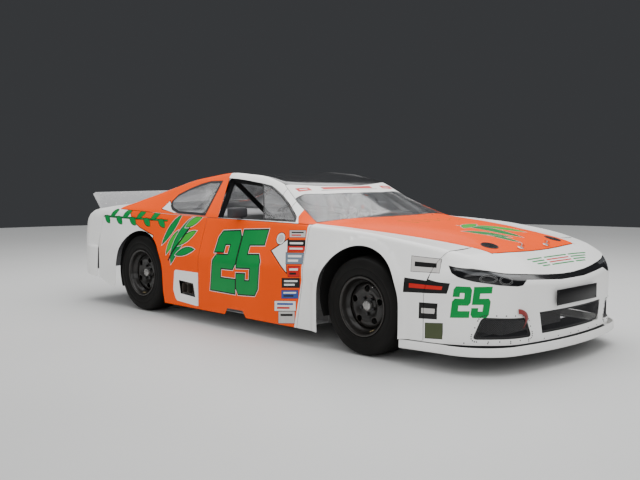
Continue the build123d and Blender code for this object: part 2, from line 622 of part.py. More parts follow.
def make_rear_axle():
    """A solid axle: tubes, centre housing, brakes and hubs, with the shaft that drives it."""
    x = REAR_AXLE_X
    tube = rod((x, -660, AXLE_Z), (x, 660, AXLE_Z), 42)
    housing = Pos(x, 0, AXLE_Z) * Rot(90, 0, 0) * Cylinder(135, 190)
    snout = rod((x, 0, AXLE_Z), (x + 230, 0, AXLE_Z - 10), 55)
    shaft = rod((x + 200, 0, AXLE_Z - 8), (-715, 0, AXLE_Z - 30), 38)
    pieces = [tube, housing, snout, shaft]
    for sign in (-1, 1):
        pieces += [rod((x, sign * 655, AXLE_Z), (x, sign * HUB_FACE_Y, AXLE_Z), 45),
                   rod((x, sign * 700, AXLE_Z), (x, sign * 730, AXLE_Z), 150),
                   rod((x + 12, sign * 300, AXLE_Z - 40), (-930, sign * 300, 190), 20)]
    return fuse(pieces)


def make_rim():
    """A 15 inch steel rim: barrel, lips and a dished centre with its cap and round vents."""
    half = RIM_W / 2
    barrel = turned([(RIM_R, half), (RIM_R, half - 10), (199, half - 14), (199, half - 22), (188, half - 40),
                     (172, half - 60), (172, -60), (190, -half + 30), (199, -half + 14),
                     (RIM_R, -half + 10), (RIM_R, -half), (191, -half), (182, -half + 30),
                     (164, -60), (164, half - 65), (180, half - 42), (191, half)], (0, 0, 0))
    disc_y = DISC_FACE_Y - WHEEL_Y
    disc = turned([(168, disc_y - 18), (168, disc_y - 8), (150, disc_y + 12), (105, disc_y + 18),
                   (75, disc_y), (36, disc_y), (36, disc_y + 24), (0, disc_y + 24), (0, disc_y - 10),
                   (75, disc_y - 10), (105, disc_y + 8), (146, disc_y + 2)], (0, 0, 0))
    for k in range(VENTS):
        drill = Pos(VENT_CIRCLE_R, disc_y, 0) * Rot(90, 0, 0) * Cylinder(VENT_R, 80)
        disc = disc - Rot(0, 360 / VENTS * k + 90, 0) * drill
    wheel = barrel + disc
    return Pos(0, WHEEL_Y, AXLE_Z) * Rot(0, 17, 0) * wheel


def make_tyre(x, sign):
    """A slick with rounded shoulders, hollow between its sidewalls where the rim sits."""
    half = TYRE_W / 2
    profile = [(TYRE_R, -half + 42), (TYRE_R, half - 42), (TYRE_R - 5, half - 24), (TYRE_R - 18, half - 8),
               (TYRE_R - 45, half), (TYRE_R - 95, half), (TYRE_R - 128, half - 5), (BEAD_R + 9, half - 16),
               (BEAD_R, half - 22), (BEAD_R, -half + 22), (BEAD_R + 9, -half + 16),
               (TYRE_R - 128, -half + 5), (TYRE_R - 95, -half), (TYRE_R - 45, -half),
               (TYRE_R - 18, -half + 8), (TYRE_R - 5, -half + 24)]
    return turned(profile, (x, sign * WHEEL_Y, AXLE_Z))


# ---- the car ----------------------------------------------------------------------------------
whole_form = body_form()
for node, solids in make_body(whole_form).items():
    save(solids, node)

save(make_splitter(), "splitter")
save(make_spoiler(whole_form), "spoiler")
save([make_mirrors(), mirrored(make_mirrors())], "door_mirrors")
save([make_exhaust(), mirrored(make_exhaust())], "exhaust_outlets")
save(block(*PLATE), "nose_plate")

save(make_frame(), "chassis_frame")
save(make_front_clip(), "front_clip")
save(make_hoop(), "main_hoop")
save(make_cage(), "roll_cage")
save([make_door_bars(), mirrored(make_door_bars())], "door_bars")
save([block(-900, 800, -860, 860, RAIL_LOW - 6, RAIL_LOW),
      front_prism(both_sides([(850, RAIL_HIGH), (850, 850), (770, 868)]), 790, 794),
      make_bulkhead()], "floor_and_bulkheads")
save(block(*ENGINE), "engine_block")
save(block(*RADIATOR), "radiator")
save(block(*FUEL_CELL), "fuel_cell")
save(make_seat(), "driver_seat")
save(make_dashboard(), "dashboard")
save(make_steering_wheel(), "steering_wheel")
save(make_control_arms(), "control_arms")
save(make_rear_axle(), "rear_axle")

left_rim = make_rim()
for side_name, side_sign in SIDES:
    rim = left_rim if side_sign > 0 else mirrored(left_rim)
    save(make_knuckle(side_sign), f"knuckle_{side_name}")
    for end_name, axle_x in (("front", FRONT_AXLE_X), ("rear", REAR_AXLE_X)):
        save(Pos(axle_x, 0, 0) * rim, f"rim_{end_name}_{side_name}")
        save(make_tyre(axle_x, side_sign), f"tyre_{end_name}_{side_name}")
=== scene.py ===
import math

import bmesh
import bpy
import numpy as np
from bpy.props import FloatProperty, FloatVectorProperty, IntProperty, PointerProperty
from mathutils import Matrix, Vector
from mathutils.geometry import delaunay_2d_cdt


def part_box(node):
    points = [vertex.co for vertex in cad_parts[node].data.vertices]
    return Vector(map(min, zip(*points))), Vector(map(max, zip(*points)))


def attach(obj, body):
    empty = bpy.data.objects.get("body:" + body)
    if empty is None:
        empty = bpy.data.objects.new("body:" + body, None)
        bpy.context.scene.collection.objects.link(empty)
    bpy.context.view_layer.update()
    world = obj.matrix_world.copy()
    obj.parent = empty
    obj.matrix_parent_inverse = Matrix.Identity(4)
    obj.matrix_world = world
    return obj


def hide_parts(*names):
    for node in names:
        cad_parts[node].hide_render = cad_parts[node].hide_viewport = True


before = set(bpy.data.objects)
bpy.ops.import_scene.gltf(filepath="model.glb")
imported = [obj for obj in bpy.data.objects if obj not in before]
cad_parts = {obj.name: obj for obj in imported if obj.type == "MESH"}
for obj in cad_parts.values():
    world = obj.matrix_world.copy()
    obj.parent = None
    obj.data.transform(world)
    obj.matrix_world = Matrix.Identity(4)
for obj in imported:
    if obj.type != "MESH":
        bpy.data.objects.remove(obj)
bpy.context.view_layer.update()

bl_info = {
    "name": "Stock Car Dress",
    "version": (1, 0, 0),
    "blender": (4, 5, 0),
    "location": "View3D > Sidebar > Stock Car",
    "description": "Builds the panels, glass, wheels and fittings of a stock car over its CAD frame",
    "category": "Object",
}

# ---- body form, metres ---------------------------------------------------------------------------
# One row per section: x, then sill z and y, widest y, belt y and z, rail y and z, crest y and z, top z.
STATIONS = np.array([
    (-2545, 285, 905, 905, 800, 780, 690, 860, 440, 866, 868),
    (-2350, 272, 918, 918, 850, 868, 752, 902, 480, 909, 912),
    (-2060, 250, 945, 945, 872, 898, 755, 938, 480, 944, 946),
    (-1760, 175, 960, 960, 885, 915, 745, 966, 475, 969, 970),
    (-1600, 160, 962, 962, 880, 912, 715, 1022, 460, 1029, 1030),
    (-1330, 150, 965, 965, 872, 905, 664, 1107, 430, 1115, 1117),
    (-950, 120, 960, 960, 862, 896, 612, 1203, 500, 1204, 1202),
    (-460, 120, 960, 960, 856, 890, 560, 1280, 470, 1260, 1254),
    (0, 120, 960, 960, 856, 890, 575, 1250, 480, 1230, 1224),
    (257, 120, 960, 960, 858, 889, 608, 1183, 490, 1190, 1192),
    (530, 120, 960, 960, 862, 888, 695, 1030, 450, 1068, 1092),
    (815, 120, 962, 962, 868, 886, 790, 897, 500, 952, 980),
    (880, 120, 964, 964, 872, 884, 776, 892, 500, 930, 950),
    (950, 120, 966, 967, 872, 884, 766, 886, 490, 918, 927),
    (1050, 120, 968, 971, 872, 882, 748, 880, 480, 916, 924),
    (1390, 122, 975, 975, 872, 866, 684, 850, 450, 899, 908),
    (1760, 184, 968, 965, 858, 822, 611, 815, 400, 864, 872),
    (1900, 184, 962, 957, 842, 801, 583, 799, 385, 836, 842),
    (2050, 184, 952, 948, 800, 770, 554, 783, 370, 801, 806),
    (2215, 184, 945, 945, 745, 737, 522, 750, 350, 756, 757),
    (2440, 184, 940, 940, 780, 572, 480, 602, 310, 608, 610),
    (2550, 184, 935, 935, 740, 490, 450, 528, 290, 534, 536),
], float) / 1000
BLEND_WIDTHS = [(-2.55, 0.06), (-2.35, 0.10), (-2.05, 0.18), (-1.78, 0.05), (-1.55, 0.16), (-0.46, 0.26),
                (0.1, 0.2), (0.3, 0.10), (0.5, 0.16), (0.72, 0.05), (0.96, 0.03), (1.06, 0.10), (1.3, 0.26),
                (2.1, 0.18), (2.35, 0.16), (2.55, 0.08)]
FRONT_ARCH, REAR_ARCH, ARCH_R = (1.380, 0.390), (-1.347, 0.352), 0.384
FRONT_FEET, REAR_FEET = (0.998, 1.762), (-1.774, -0.927)
WIDE = 0.99


def station_columns():
    """The station columns on a dense run of x, averaged over a width that follows the form."""
    dense = np.arange(-3.2, 3.2, 0.0025)
    xs = np.arange(-2.58, 2.5801, 0.01)
    width = np.interp(xs, *zip(*BLEND_WIDTHS))
    columns = []
    for k in range(1, STATIONS.shape[1]):
        values = np.interp(dense, STATIONS[:, 0], STATIONS[:, k])
        total = np.concatenate([[0], np.cumsum((values[1:] + values[:-1]) / 2 * 0.0025)])
        ahead, behind = np.interp(xs + width / 2, dense, total), np.interp(xs - width / 2, dense, total)
        columns.append((ahead - behind) / width)
    return xs, columns


COLUMN_X, COLUMNS = station_columns()


def arc_through(a, b, c, steps):
    """Points on the circle from a through b to c."""
    (ax, ay), (bx, by), (cx, cy) = a, b, c
    d = 2 * (ax * (by - cy) + bx * (cy - ay) + cx * (ay - by))
    ux = ((ax**2 + ay**2) * (by - cy) + (bx**2 + by**2) * (cy - ay) + (cx**2 + cy**2) * (ay - by)) / d
    uy = ((ax**2 + ay**2) * (cx - bx) + (bx**2 + by**2) * (ax - cx) + (cx**2 + cy**2) * (bx - ax)) / d
    angles = [math.atan2(p[1] - uy, p[0] - ux) for p in (a, b, c)]
    turn = (angles[2] - angles[0]) % (2 * math.pi)
    if (angles[1] - angles[0]) % (2 * math.pi) > turn:
        turn -= 2 * math.pi
    r = math.hypot(ax - ux, ay - uy)
    return [(ux + r * math.cos(angles[0] + turn * k / steps), uy + r * math.sin(angles[0] + turn * k / steps))
            for k in range(steps + 1)]


def dense_path(points, step, closed=False):
    """The path's points with more between them, no further apart than step."""
    points = np.array(points, float)
    if closed:
        points = np.vstack([points, points[:1]])
    out = []
    for a, b in zip(points[:-1], points[1:]):
        count = max(1, int(math.ceil(np.linalg.norm(b - a) / step)))
        out += [a + (b - a) * k / count for k in range(count)]
    if not closed:
        out.append(points[-1])
    return np.array(out)


class EndOutline:
    """The car's plan at its nose or tail: a path from the left flank round to the right one."""

    def __init__(self, half, soften):
        path = half + [(x, -y) for x, y in reversed(half[:-1])]
        path = dense_path(path, 0.004)
        path = np.array([path[max(0, k - soften):k + soften + 1].mean(axis=0) for k in range(len(path))])
        steps = np.linalg.norm(np.diff(path, axis=0), axis=1)
        self.a = np.concatenate([[0], np.cumsum(steps)])
        self.a -= self.a[-1] / 2
        self.path = path
        self.sign = 1 if path[len(path) // 2][0] > 0 else -1
        tangent = np.gradient(path, axis=0)
        tangent /= np.linalg.norm(tangent, axis=1)[:, None]
        inward = np.stack([tangent[:, 1], -tangent[:, 0]], 1)
        self.inward = inward if inward[len(path) // 2][0] * self.sign < 0 else -inward

    def at(self, a):
        x = np.interp(a, self.a, self.path[:, 0])
        y = np.interp(a, self.a, self.path[:, 1])
        return x, y, np.interp(a, self.a, self.inward[:, 0]), np.interp(a, self.a, self.inward[:, 1])

    def half_width(self, x):
        """The outline's y on the left at x, wide open before the end begins."""
        left = self.path[: len(self.path) // 2 + 1]
        order = np.argsort(left[:, 0])
        return np.interp(x, left[order, 0], left[order, 1])

    def foot(self, x, y):
        """The nearest place on the outline: its a, and how far inside it the point is."""
        near = ((self.path[None, :, 0] - x[:, None]) ** 2 + (self.path[None, :, 1] - y[:, None]) ** 2).argmin(axis=1)
        p, n = self.path[near], self.inward[near]
        return self.a[near], np.maximum((x - p[:, 0]) * n[:, 0] + (y - p[:, 1]) * n[:, 1], 0)


NOSE_PLAN = EndOutline([(1.60, WIDE)] + arc_through((1.990, 0.930), (2.310, 0.775), (2.440, 0.610), 60)
                       + arc_through((2.440, 0.610), (2.510, 0), (2.440, -0.610), 160)[1:81], 18)
TAIL_PLAN = EndOutline([(-1.60, WIDE)] + arc_through((-2.060, 0.948), (-2.330, 0.915), (-2.420, 0.850), 40)
                       + arc_through((-2.420, 0.850), (-2.532, 0), (-2.420, -0.850), 200)[1:101], 6)


def rounded_section(x, v):
    """(y, z) on the left of the body at x, where v runs from the crown, 0, over each corner to the sill, 6."""
    v = np.clip(v, 0, 5.99999)
    sill_z, sill_y, mid_y, belt_y, belt_z, rail_y, rail_z, crest_y, crest_z, top_z = (
        np.interp(x, COLUMN_X, c) for c in COLUMNS)
    mid_z = np.minimum(0.56, belt_z - 0.09)
    fold_z = np.maximum(0.22, sill_z + 0.04)
    zero = np.zeros_like(x)
    corner = np.array([(-crest_y, crest_z), (zero, top_z), (crest_y, crest_z), (rail_y, rail_z), (belt_y, belt_z),
                       (mid_y, mid_z), (mid_y, fold_z), (sill_y, sill_z), (sill_y, sill_z - 0.05)])
    rail_r = np.interp(x, [-1.7, -1.0, 0.1, 0.4, 0.8, 1.0], [0.06, 0.045, 0.04, 0.035, 0.03, 0.035])
    belt_r = np.interp(x, [-2.3, -1.8, -1.0, 0.8, 1.0, 2.2], [0.05, 0.06, 0.035, 0.030, 0.045, 0.05])
    radius = np.array([zero + 9, zero + 9, zero + 0.2, rail_r, belt_r, zero + 0.18, zero + 0.04, zero + 0.004])
    k = np.floor(v).astype(int)
    t = v - k

    def pick(values, at):
        return np.take_along_axis(values.reshape(len(values), -1), at.reshape(1, -1), 0).reshape(x.shape)

    def point(at):
        return np.stack([pick(corner[:, 0], at), pick(corner[:, 1], at)])
    before, a, b, after = point(k), point(k + 1), point(k + 2), point(np.minimum(k + 3, 8))
    length = np.maximum(np.hypot(*(b - a)), 1e-6)
    last, following = np.maximum(np.hypot(*(a - before)), 1e-6), np.maximum(np.hypot(*(after - b)), 1e-6)
    ra = np.minimum(pick(radius, k), 0.48 * np.minimum(length, last))
    rb = np.minimum(pick(radius, np.minimum(k + 1, 7)), 0.48 * np.minimum(length, following))
    ta, tb = np.maximum(ra / length, 1e-9), np.maximum(rb / length, 1e-9)
    along = (b - a) / length
    result = a + (b - a) * t
    u = 0.5 + 0.5 * t / ta
    start, end = a + (before - a) / last * ra, a + along * ra
    result = np.where(t < ta, (1 - u) ** 2 * start + 2 * u * (1 - u) * a + u**2 * end, result)
    u = 0.5 * (t - 1 + tb) / tb
    start, end = b - along * rb, b + (after - b) / following * rb
    result = np.where(t > 1 - tb, (1 - u) ** 2 * start + 2 * u * (1 - u) * b + u**2 * end, result)
    return result


TABLE_STEP, WIDTH_STEP = 0.0025, 0.004
SECTIONS = rounded_section(*np.meshgrid(COLUMN_X, np.arange(0, 6 + TABLE_STEP / 2, TABLE_STEP), indexing="ij"))
WIDTHS = np.arange(0, 1.0, WIDTH_STEP)
HEIGHTS = np.array([np.interp(WIDTHS, np.maximum.accumulate(y[:1600]), z[:1600]) for y, z in zip(*SECTIONS)])


def looked_up(table, x, step, value):
    """A smooth reading of a table at x and, along its rows, at value."""
    i = np.clip((x - COLUMN_X[0]) / 0.01, 0, len(COLUMN_X) - 1.001)
    j = np.clip(value / step, 0, table.shape[1] - 1.001)
    a, b = i.astype(int), j.astype(int)
    i, j = i - a, j - b
    return ((table[a, b] * (1 - j) + table[a, b + 1] * j) * (1 - i)
            + (table[a + 1, b] * (1 - j) + table[a + 1, b + 1] * j) * i)


def section(x, v, clamp=True):
    """(y, z) on the body at x; v is negative on the right. Clamped to the plan of the nose and the tail."""
    x, v = np.broadcast_arrays(np.asarray(x, float), np.asarray(v, float))
    sign, v = np.where(v < 0, -1.0, 1.0), np.abs(v)
    y, z = looked_up(SECTIONS[0], x, TABLE_STEP, v), looked_up(SECTIONS[1], x, TABLE_STEP, v)
    if clamp:
        limit = np.where(x > 0, NOSE_PLAN.half_width(x), TAIL_PLAN.half_width(x))
        over = y - limit
        y = y - 0.5 * (over + np.sqrt(over**2 + 6e-5))
    return sign * y, z


def solve_v(x, target, axis, low, high):
    """v between low and high where the section's y (axis 0, rising) or z (axis 1, falling) is the target."""
    x, target = np.asarray(x, float), np.asarray(target, float)
    low, high = np.full(x.shape, float(low)), np.full(x.shape, float(high))
    for _ in range(22):
        middle = (low + high) / 2
        value = looked_up(SECTIONS[axis], x, TABLE_STEP, middle)
        under = value < target if axis == 0 else value > target
        low, high = np.where(under, middle, low), np.where(under, high, middle)
    return (low + high) / 2


def from_plan(points):
    """(x, v) of plan points (x, y)."""
    x, y = np.asarray(points, float).T
    v = solve_v(x, np.abs(y), 0, 0, 3.9)
    return np.stack([x, np.where(y < 0, -v, v)], 1)


def from_side(points, side):
    """(x, v) of side points (x, z) on the left (1) or right (-1), from the rail down."""
    x, z = np.asarray(points, float).T
    return np.stack([x, side * solve_v(x, z, 1, 2.01, 6)], 1)


def arch_distance(x, z, arch, feet):
    """How far a flank point is from a wheel arch's edge."""
    cx, cz = arch
    t = np.clip((z - 0.10) / (cz - 0.10), 0, 1)
    ahead = x - (feet[1] + (cx + ARCH_R - feet[1]) * t)
    behind = (feet[0] + (cx - ARCH_R - feet[0]) * t) - x
    return np.where(z > cz, np.hypot(x - cx, z - cz) - ARCH_R, np.maximum(ahead, behind))


def skin(points):
    """The body's surface at (x, v), with the lip round the front arches."""
    x, v = points[:, 0], points[:, 1]
    y, z = section(x, v)
    d = arch_distance(x, z, FRONT_ARCH, FRONT_FEET)
    lip = np.clip(1 - d / 0.062, 0, 1)
    lip = np.sqrt(np.clip(lip * (2 - lip), 0, 1)) * np.clip((np.abs(v) - 3.02) / 0.12, 0, 1) * 0.012
    return np.stack([x, y + np.sign(v) * lip, z], 1)


EDGE_R = 0.030       # round over the top of the nose's and the tail's wall


def plan_height(x, y):
    """The body's height over a plan point, ignoring the end outlines."""
    return looked_up(HEIGHTS, np.asarray(x, float), WIDTH_STEP, np.abs(y))


def end_skin(plan):
    """The surface of the nose or the tail at (a, q): q climbs the wall from the ground, then runs inwards."""
    def surface(points):
        a, q = points[:, 0], points[:, 1]
        x, y, nx, ny = plan.at(a)
        top = plan_height(x, y) - EDGE_R
        bend = np.clip((q - top) / EDGE_R, 0, math.pi / 2)
        d = EDGE_R * (1 - np.cos(bend)) + np.maximum(q - top - EDGE_R * math.pi / 2, 0)
        z = np.where(q < top, q, 0)
        px, py = x + nx * d, y + ny * d
        over = plan_height(px, py) - EDGE_R * (1 - np.sin(bend))
        return np.stack([px, py, np.where(q < top, z, over)], 1)
    return surface


def end_from_plan(plan, points):
    """(a, q) of plan points (x, y) on the nose or the tail."""
    x, y = np.asarray(points, float).T
    a, d = plan.foot(x, y)
    px, py, _, _ = plan.at(a)
    top = plan_height(px, py) - EDGE_R
    bend = np.arccos(np.clip(1 - d / EDGE_R, -1, 1))
    return np.stack([a, top + np.where(d < EDGE_R, EDGE_R * bend, EDGE_R * math.pi / 2 + d - EDGE_R)], 1)


def end_from_side(plan, points, side):
    """(a, q) of flank points (x, z) on the nose or the tail."""
    x, z = np.asarray(points, float).T
    y = section(x, solve_v(x, z, 1, 2.01, 6), clamp=False)[0]
    limit = plan.half_width(x)
    inside = end_from_plan(plan, np.stack([x, side * np.minimum(y, limit)], 1))
    return np.stack([inside[:, 0], np.where(y >= limit - 0.001, z, inside[:, 1])], 1)


def end_from_front(plan, points):
    """(a, q) of points (y, z) seen from the front or the back."""
    y, z = np.asarray(points, float).T
    ends = plan.path[len(plan.path) // 2, 0]
    order = np.argsort(plan.path[:, 1])
    reach = np.interp(y, plan.path[order, 1], plan.path[order, 0])
    a = np.interp(y, plan.path[order, 1], plan.a[order])
    low, high = np.full(y.shape, ends * 0.8), reach
    for _ in range(24):
        middle = (low + high) / 2
        above = plan_height(middle, y) > z
        low, high = np.where(above, middle, low), np.where(above, high, middle)
    wall = z < plan_height(reach, y) - EDGE_R
    top = end_from_plan(plan, np.stack([(low + high) / 2, y], 1))
    return np.stack([np.where(wall, a, top[:, 0]), np.where(wall, z, top[:, 1])], 1)


nose_skin, tail_skin = end_skin(NOSE_PLAN), end_skin(TAIL_PLAN)


# ---- mesh building -------------------------------------------------------------------------------
def inside(points, loop):
    """Which points lie inside a closed loop."""
    x, y = points[:, 0], points[:, 1]
    result = np.zeros(len(points), bool)
    for (ax, ay), (bx, by) in zip(loop, np.roll(loop, -1, axis=0)):
        if ay != by:
            result ^= ((ay > y) != (by > y)) & (x < (bx - ax) * (y - ay) / (by - ay) + ax)
    return result


def set_in(loop, gap):
    """A closed loop moved towards its inside by gap."""
    ahead, behind = np.roll(loop, -1, axis=0), np.roll(loop, 1, axis=0)
    along = ahead - behind
    along /= np.maximum(np.linalg.norm(along, axis=1), 1e-9)[:, None]
    turn = np.sum(loop[:, 0] * ahead[:, 1] - ahead[:, 0] * loop[:, 1])
    return loop + np.stack([-along[:, 1], along[:, 0]], 1) * (gap if turn > 0 else -gap)


def make_mesh(name, vertices, faces, materials, indices=None, normals=None, smooth=True):
    """A mesh object in the scene, with a material for each face and, where given, corner normals."""
    mesh = bpy.data.meshes.new(name)
    mesh.from_pydata([tuple(v) for v in vertices], [], [tuple(int(i) for i in f) for f in faces])
    for material in materials:
        mesh.materials.append(material)
    if indices is not None:
        mesh.polygons.foreach_set("material_index", np.asarray(indices, np.int32))
    mesh.polygons.foreach_set("use_smooth", [smooth] * len(mesh.polygons))
    mesh.update()
    if normals is not None:
        mesh.normals_split_custom_set([tuple(n) for n in normals])
    return linked(name, mesh)


def linked(name, data):
    """An object in the scene for some data."""
    made = bpy.data.objects.new(name, data)
    bpy.context.scene.collection.objects.link(made)
    return made


def from_bmesh(mesh, name, materials, sharp=None):
    """An object out of a finished bmesh, with its edges sharper than an angle kept crisp."""
    data = bpy.data.meshes.new(name)
    mesh.to_mesh(data)
    mesh.free()
    for material in materials:
        data.materials.append(material)
    piece = linked(name, data)
    if sharp is not None:
        tidy_normals(piece, sharp)
    return piece


def place(piece, body, slot, *nodes):
    """Let a piece ride on a body and stand for CAD nodes; slot is not used."""
    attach(piece, body)
    if nodes:
        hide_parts(*nodes)
    return piece


STATION_STEPS = (0, 0.03, 0.065, 0.11, 0.17, 0.26, 0.38, 0.5, 0.62, 0.74, 0.83, 0.89, 0.935, 0.97)


def station_grid(x0, x1, v0, v1, step):
    """Grid points on the sections, closer together near their corners."""
    rows = [k + s for k in range(-7, 7) for s in STATION_STEPS if v0 < k + s < v1]
    return np.array([(x, v) for x in np.arange(x0 + step / 2, x1, step) for v in rows])


def end_grid(plan, a0, a1, q0, q1, step):
    """Grid points on the nose or the tail, closer together round its upper edge."""
    out = []
    for a in np.arange(a0 + step / 2, a1, step):
        x, y, _, _ = plan.at(a)
        top = float(plan_height(np.array([x]), np.array([y]))[0]) - EDGE_R
        rows = list(np.linspace(q0, top, max(2, int((top - q0) / step)) + 1))
        rows += [top + EDGE_R * math.pi / 2 * k / 6 for k in range(1, 7)]
        rows += list(np.arange(rows[-1] + step / 2, q1, step))
        out += [(a, q) for q in rows]
    return np.array(out)


class Form:
    """One way of laying a panel's flat pattern on the body."""

    def __init__(self, surface, grid, stretch):
        self.surface, self.grid, self.stretch = surface, grid, np.array([1.0, stretch])


BODY_FORM = Form(skin, station_grid, 0.25)
NOSE_FORM = Form(nose_skin, lambda *args: end_grid(NOSE_PLAN, *args), 1.0)
TAIL_FORM = Form(tail_skin, lambda *args: end_grid(TAIL_PLAN, *args), 1.0)


def surface_at(form, flat, centre):
    """Positions on the body and its outward normals at points of the flat pattern."""
    e = 0.003
    at = form.surface(flat)
    du = form.surface(flat + (e, 0)) - form.surface(flat - (e, 0))
    step = e / form.stretch[1]
    dv = form.surface(flat + (0, step)) - form.surface(flat - (0, step))
    normals = np.cross(du, dv)
    length = np.linalg.norm(normals, axis=1)
    normals /= np.maximum(length, 1e-12)[:, None]
    outward = at - np.stack([np.clip(at[:, 0], -centre, centre), at[:, 1] * 0, at[:, 1] * 0 + 0.45], 1)
    if np.sum(normals * outward) < 0:
        normals = -normals
    return at, normals


def on_form(form, flat, lift=0.0, centre=1.6):
    """Places on a form's outside and the ways that they face, from a flat pattern."""
    at, normals = surface_at(form, np.asarray(flat, float), centre)
    outward = np.where(np.sum(normals * (at - (0, 0, 0.35)), axis=1, keepdims=True) < 0, -1, 1)
    normals = normals * outward
    return at + normals * lift, normals


def on_body(flat, lift=0.0):
    return on_form(BODY_FORM, flat, lift)


def triangles(loops, guides, grid):
    """Points, faces and face centres of the area inside the first loop and outside the other ones."""
    points, edges = [], []
    for loop in loops + guides:
        first = len(points)
        points += [tuple(p) for p in loop]
        edges += [(first + k, first + (k + 1) % len(loop)) for k in range(len(loop))]
    points += [tuple(p) for p in grid]
    flat, _, faces = delaunay_2d_cdt([Vector(p) for p in points], edges, [], 0, 1e-7)[:3]
    flat = np.array([tuple(p) for p in flat])
    faces = np.array([f for f in faces if len(f) == 3])
    middle = flat[faces].mean(axis=1)
    kept = inside(middle, loops[0])
    for loop in loops[1:]:
        kept &= ~inside(middle, loop)
    return flat, faces[kept], middle[kept]


def make_panel(name, form, outline, finishes, holes=(), paint=(), thickness=None, step=None, drop=None,
               lift=0.0, centre=1.6, edge=None):
    """A thin panel cut to an outline, its holes and its painted areas, with softened edges.

    paint is a list of (closed loop, index into finishes); a later area covers an earlier one."""
    panels = bpy.context.scene.stock_car_panels
    thickness = panels.thickness if thickness is None else thickness
    step = panels.grid_step if step is None else step
    drop = panels.edge_softness if drop is None else drop
    scale = form.stretch
    loops = [dense_path(np.asarray(loop) * scale, step * 0.7, closed=True) for loop in [outline, *holes]]
    keep = [set_in(loops[0], 0.003)] + [set_in(loop, -0.003) for loop in loops[1:]]
    areas = [(dense_path(np.asarray(loop) * scale, step, closed=True), index) for loop, index in paint]
    low, high = loops[0].min(axis=0) / scale, loops[0].max(axis=0) / scale
    grid = form.grid(low[0], high[0], low[1], high[1], step) * scale
    grid = grid[inside(grid, keep[0])]
    for loop in keep[1:]:
        grid = grid[~inside(grid, loop)]
    fixed = np.vstack(loops + keep + [loop for loop, _ in areas])
    gap = 0.35 * step
    cells = {}
    for point in fixed:
        cells.setdefault((int(point[0] // gap), int(point[1] // gap)), []).append(point)

    def clear(point):
        i, j = int(point[0] // gap), int(point[1] // gap)
        return all(abs(other[0] - point[0]) + abs(other[1] - point[1]) > gap
                   for a in (i - 1, i, i + 1) for b in (j - 1, j, j + 1) for other in cells.get((a, b), ()))
    grid = np.array([point for point in grid if clear(point)]).reshape(-1, 2)
    flat, faces, middle = triangles(loops, keep + [loop for loop, _ in areas], grid)
    a, b, c = (flat[faces[:, k]] for k in range(3))
    area = (b[:, 0] - a[:, 0]) * (c[:, 1] - a[:, 1]) - (b[:, 1] - a[:, 1]) * (c[:, 0] - a[:, 0])
    faces, middle = faces[np.abs(area) > 1e-11], middle[np.abs(area) > 1e-11]
    colour = np.zeros(len(faces), int)
    for loop, index in areas:
        colour[inside(middle, loop)] = index
    used, faces = np.unique(faces, return_inverse=True)
    faces = faces.reshape(-1, 3)
    flat = flat[used]
    at, normals = surface_at(form, flat / scale, centre)
    turned = np.sum(np.cross(at[faces[:, 1]] - at[faces[:, 0]], at[faces[:, 2]] - at[faces[:, 0]])
                    * normals[faces].sum(axis=1), axis=1) < 0
    faces[turned] = faces[turned][:, ::-1]
    sides = {}
    for k, face in enumerate(faces):
        for i in range(3):
            sides[(face[i], face[(i + 1) % 3])] = k
    border = [(side, k) for side, k in sides.items() if (side[1], side[0]) not in sides]
    rim = np.zeros(len(flat), bool)
    rim[[i for side, _ in border for i in side]] = True
    count = len(flat)
    outer = at + normals * lift
    outer[rim] -= normals[rim] * drop
    inner = at - normals * (thickness - lift)
    vertices = np.vstack([outer, inner])
    all_faces, corner_normals, indices = [], [], []
    edge_index = len(finishes) - 1 if edge is None else edge
    for face, index in zip(faces, colour):
        all_faces.append(face)
        corner_normals += [normals[i] for i in face]
        indices.append(index)
    for face in faces:
        all_faces.append(face[::-1] + count)
        corner_normals += [-normals[i] for i in face[::-1]]
        indices.append(edge_index)
    for (i, j), k in border:
        quad = (j, i, i + count, j + count)
        side = np.cross(vertices[i] - vertices[j], vertices[i + count] - vertices[j])
        side = side / max(np.linalg.norm(side), 1e-12)
        all_faces.append(quad)
        corner_normals += [side] * 4
        indices.append(colour[k])
    return make_mesh(name, vertices, all_faces, finishes, indices, corner_normals)


def loft_faces(rows, count):
    """Faces of a bar whose points come in rows of count, with its two ends closed."""
    faces = [(k * count + s, k * count + (s + 1) % count, (k + 1) * count + (s + 1) % count, (k + 1) * count + s)
             for k in range(rows - 1) for s in range(count)]
    return faces + [tuple(range(count)), tuple(range((rows - 1) * count, rows * count))]


def bar_of(name, vertices, count, material, sharp):
    """A bar out of rows of count points."""
    piece = make_mesh(name, vertices, loft_faces(len(vertices) // count, count), [material])
    tidy_normals(piece, sharp)
    return piece


def bridge(mesh, rings):
    """Faces between each ring of vertices and the next one."""
    for a, b in zip(rings, rings[1:]):
        for k in range(len(a)):
            mesh.faces.new((a[k], a[(k + 1) % len(a)], b[(k + 1) % len(a)], b[k]))


def circle(radius, count, x=0.0, y=0.0):
    """Points round a circle."""
    return [(x + radius * math.cos(t), y + radius * math.sin(t))
            for t in np.linspace(0, 2 * math.pi, count, endpoint=False)]


def squared(count, power):
    """Points round a unit circle that is pushed out towards four corners."""
    def pushed(value):
        return math.copysign(abs(value) ** power, value)
    turns = (2 * math.pi * (k + 0.5) / count for k in range(count))
    return [(pushed(math.cos(t)), pushed(math.sin(t))) for t in turns]


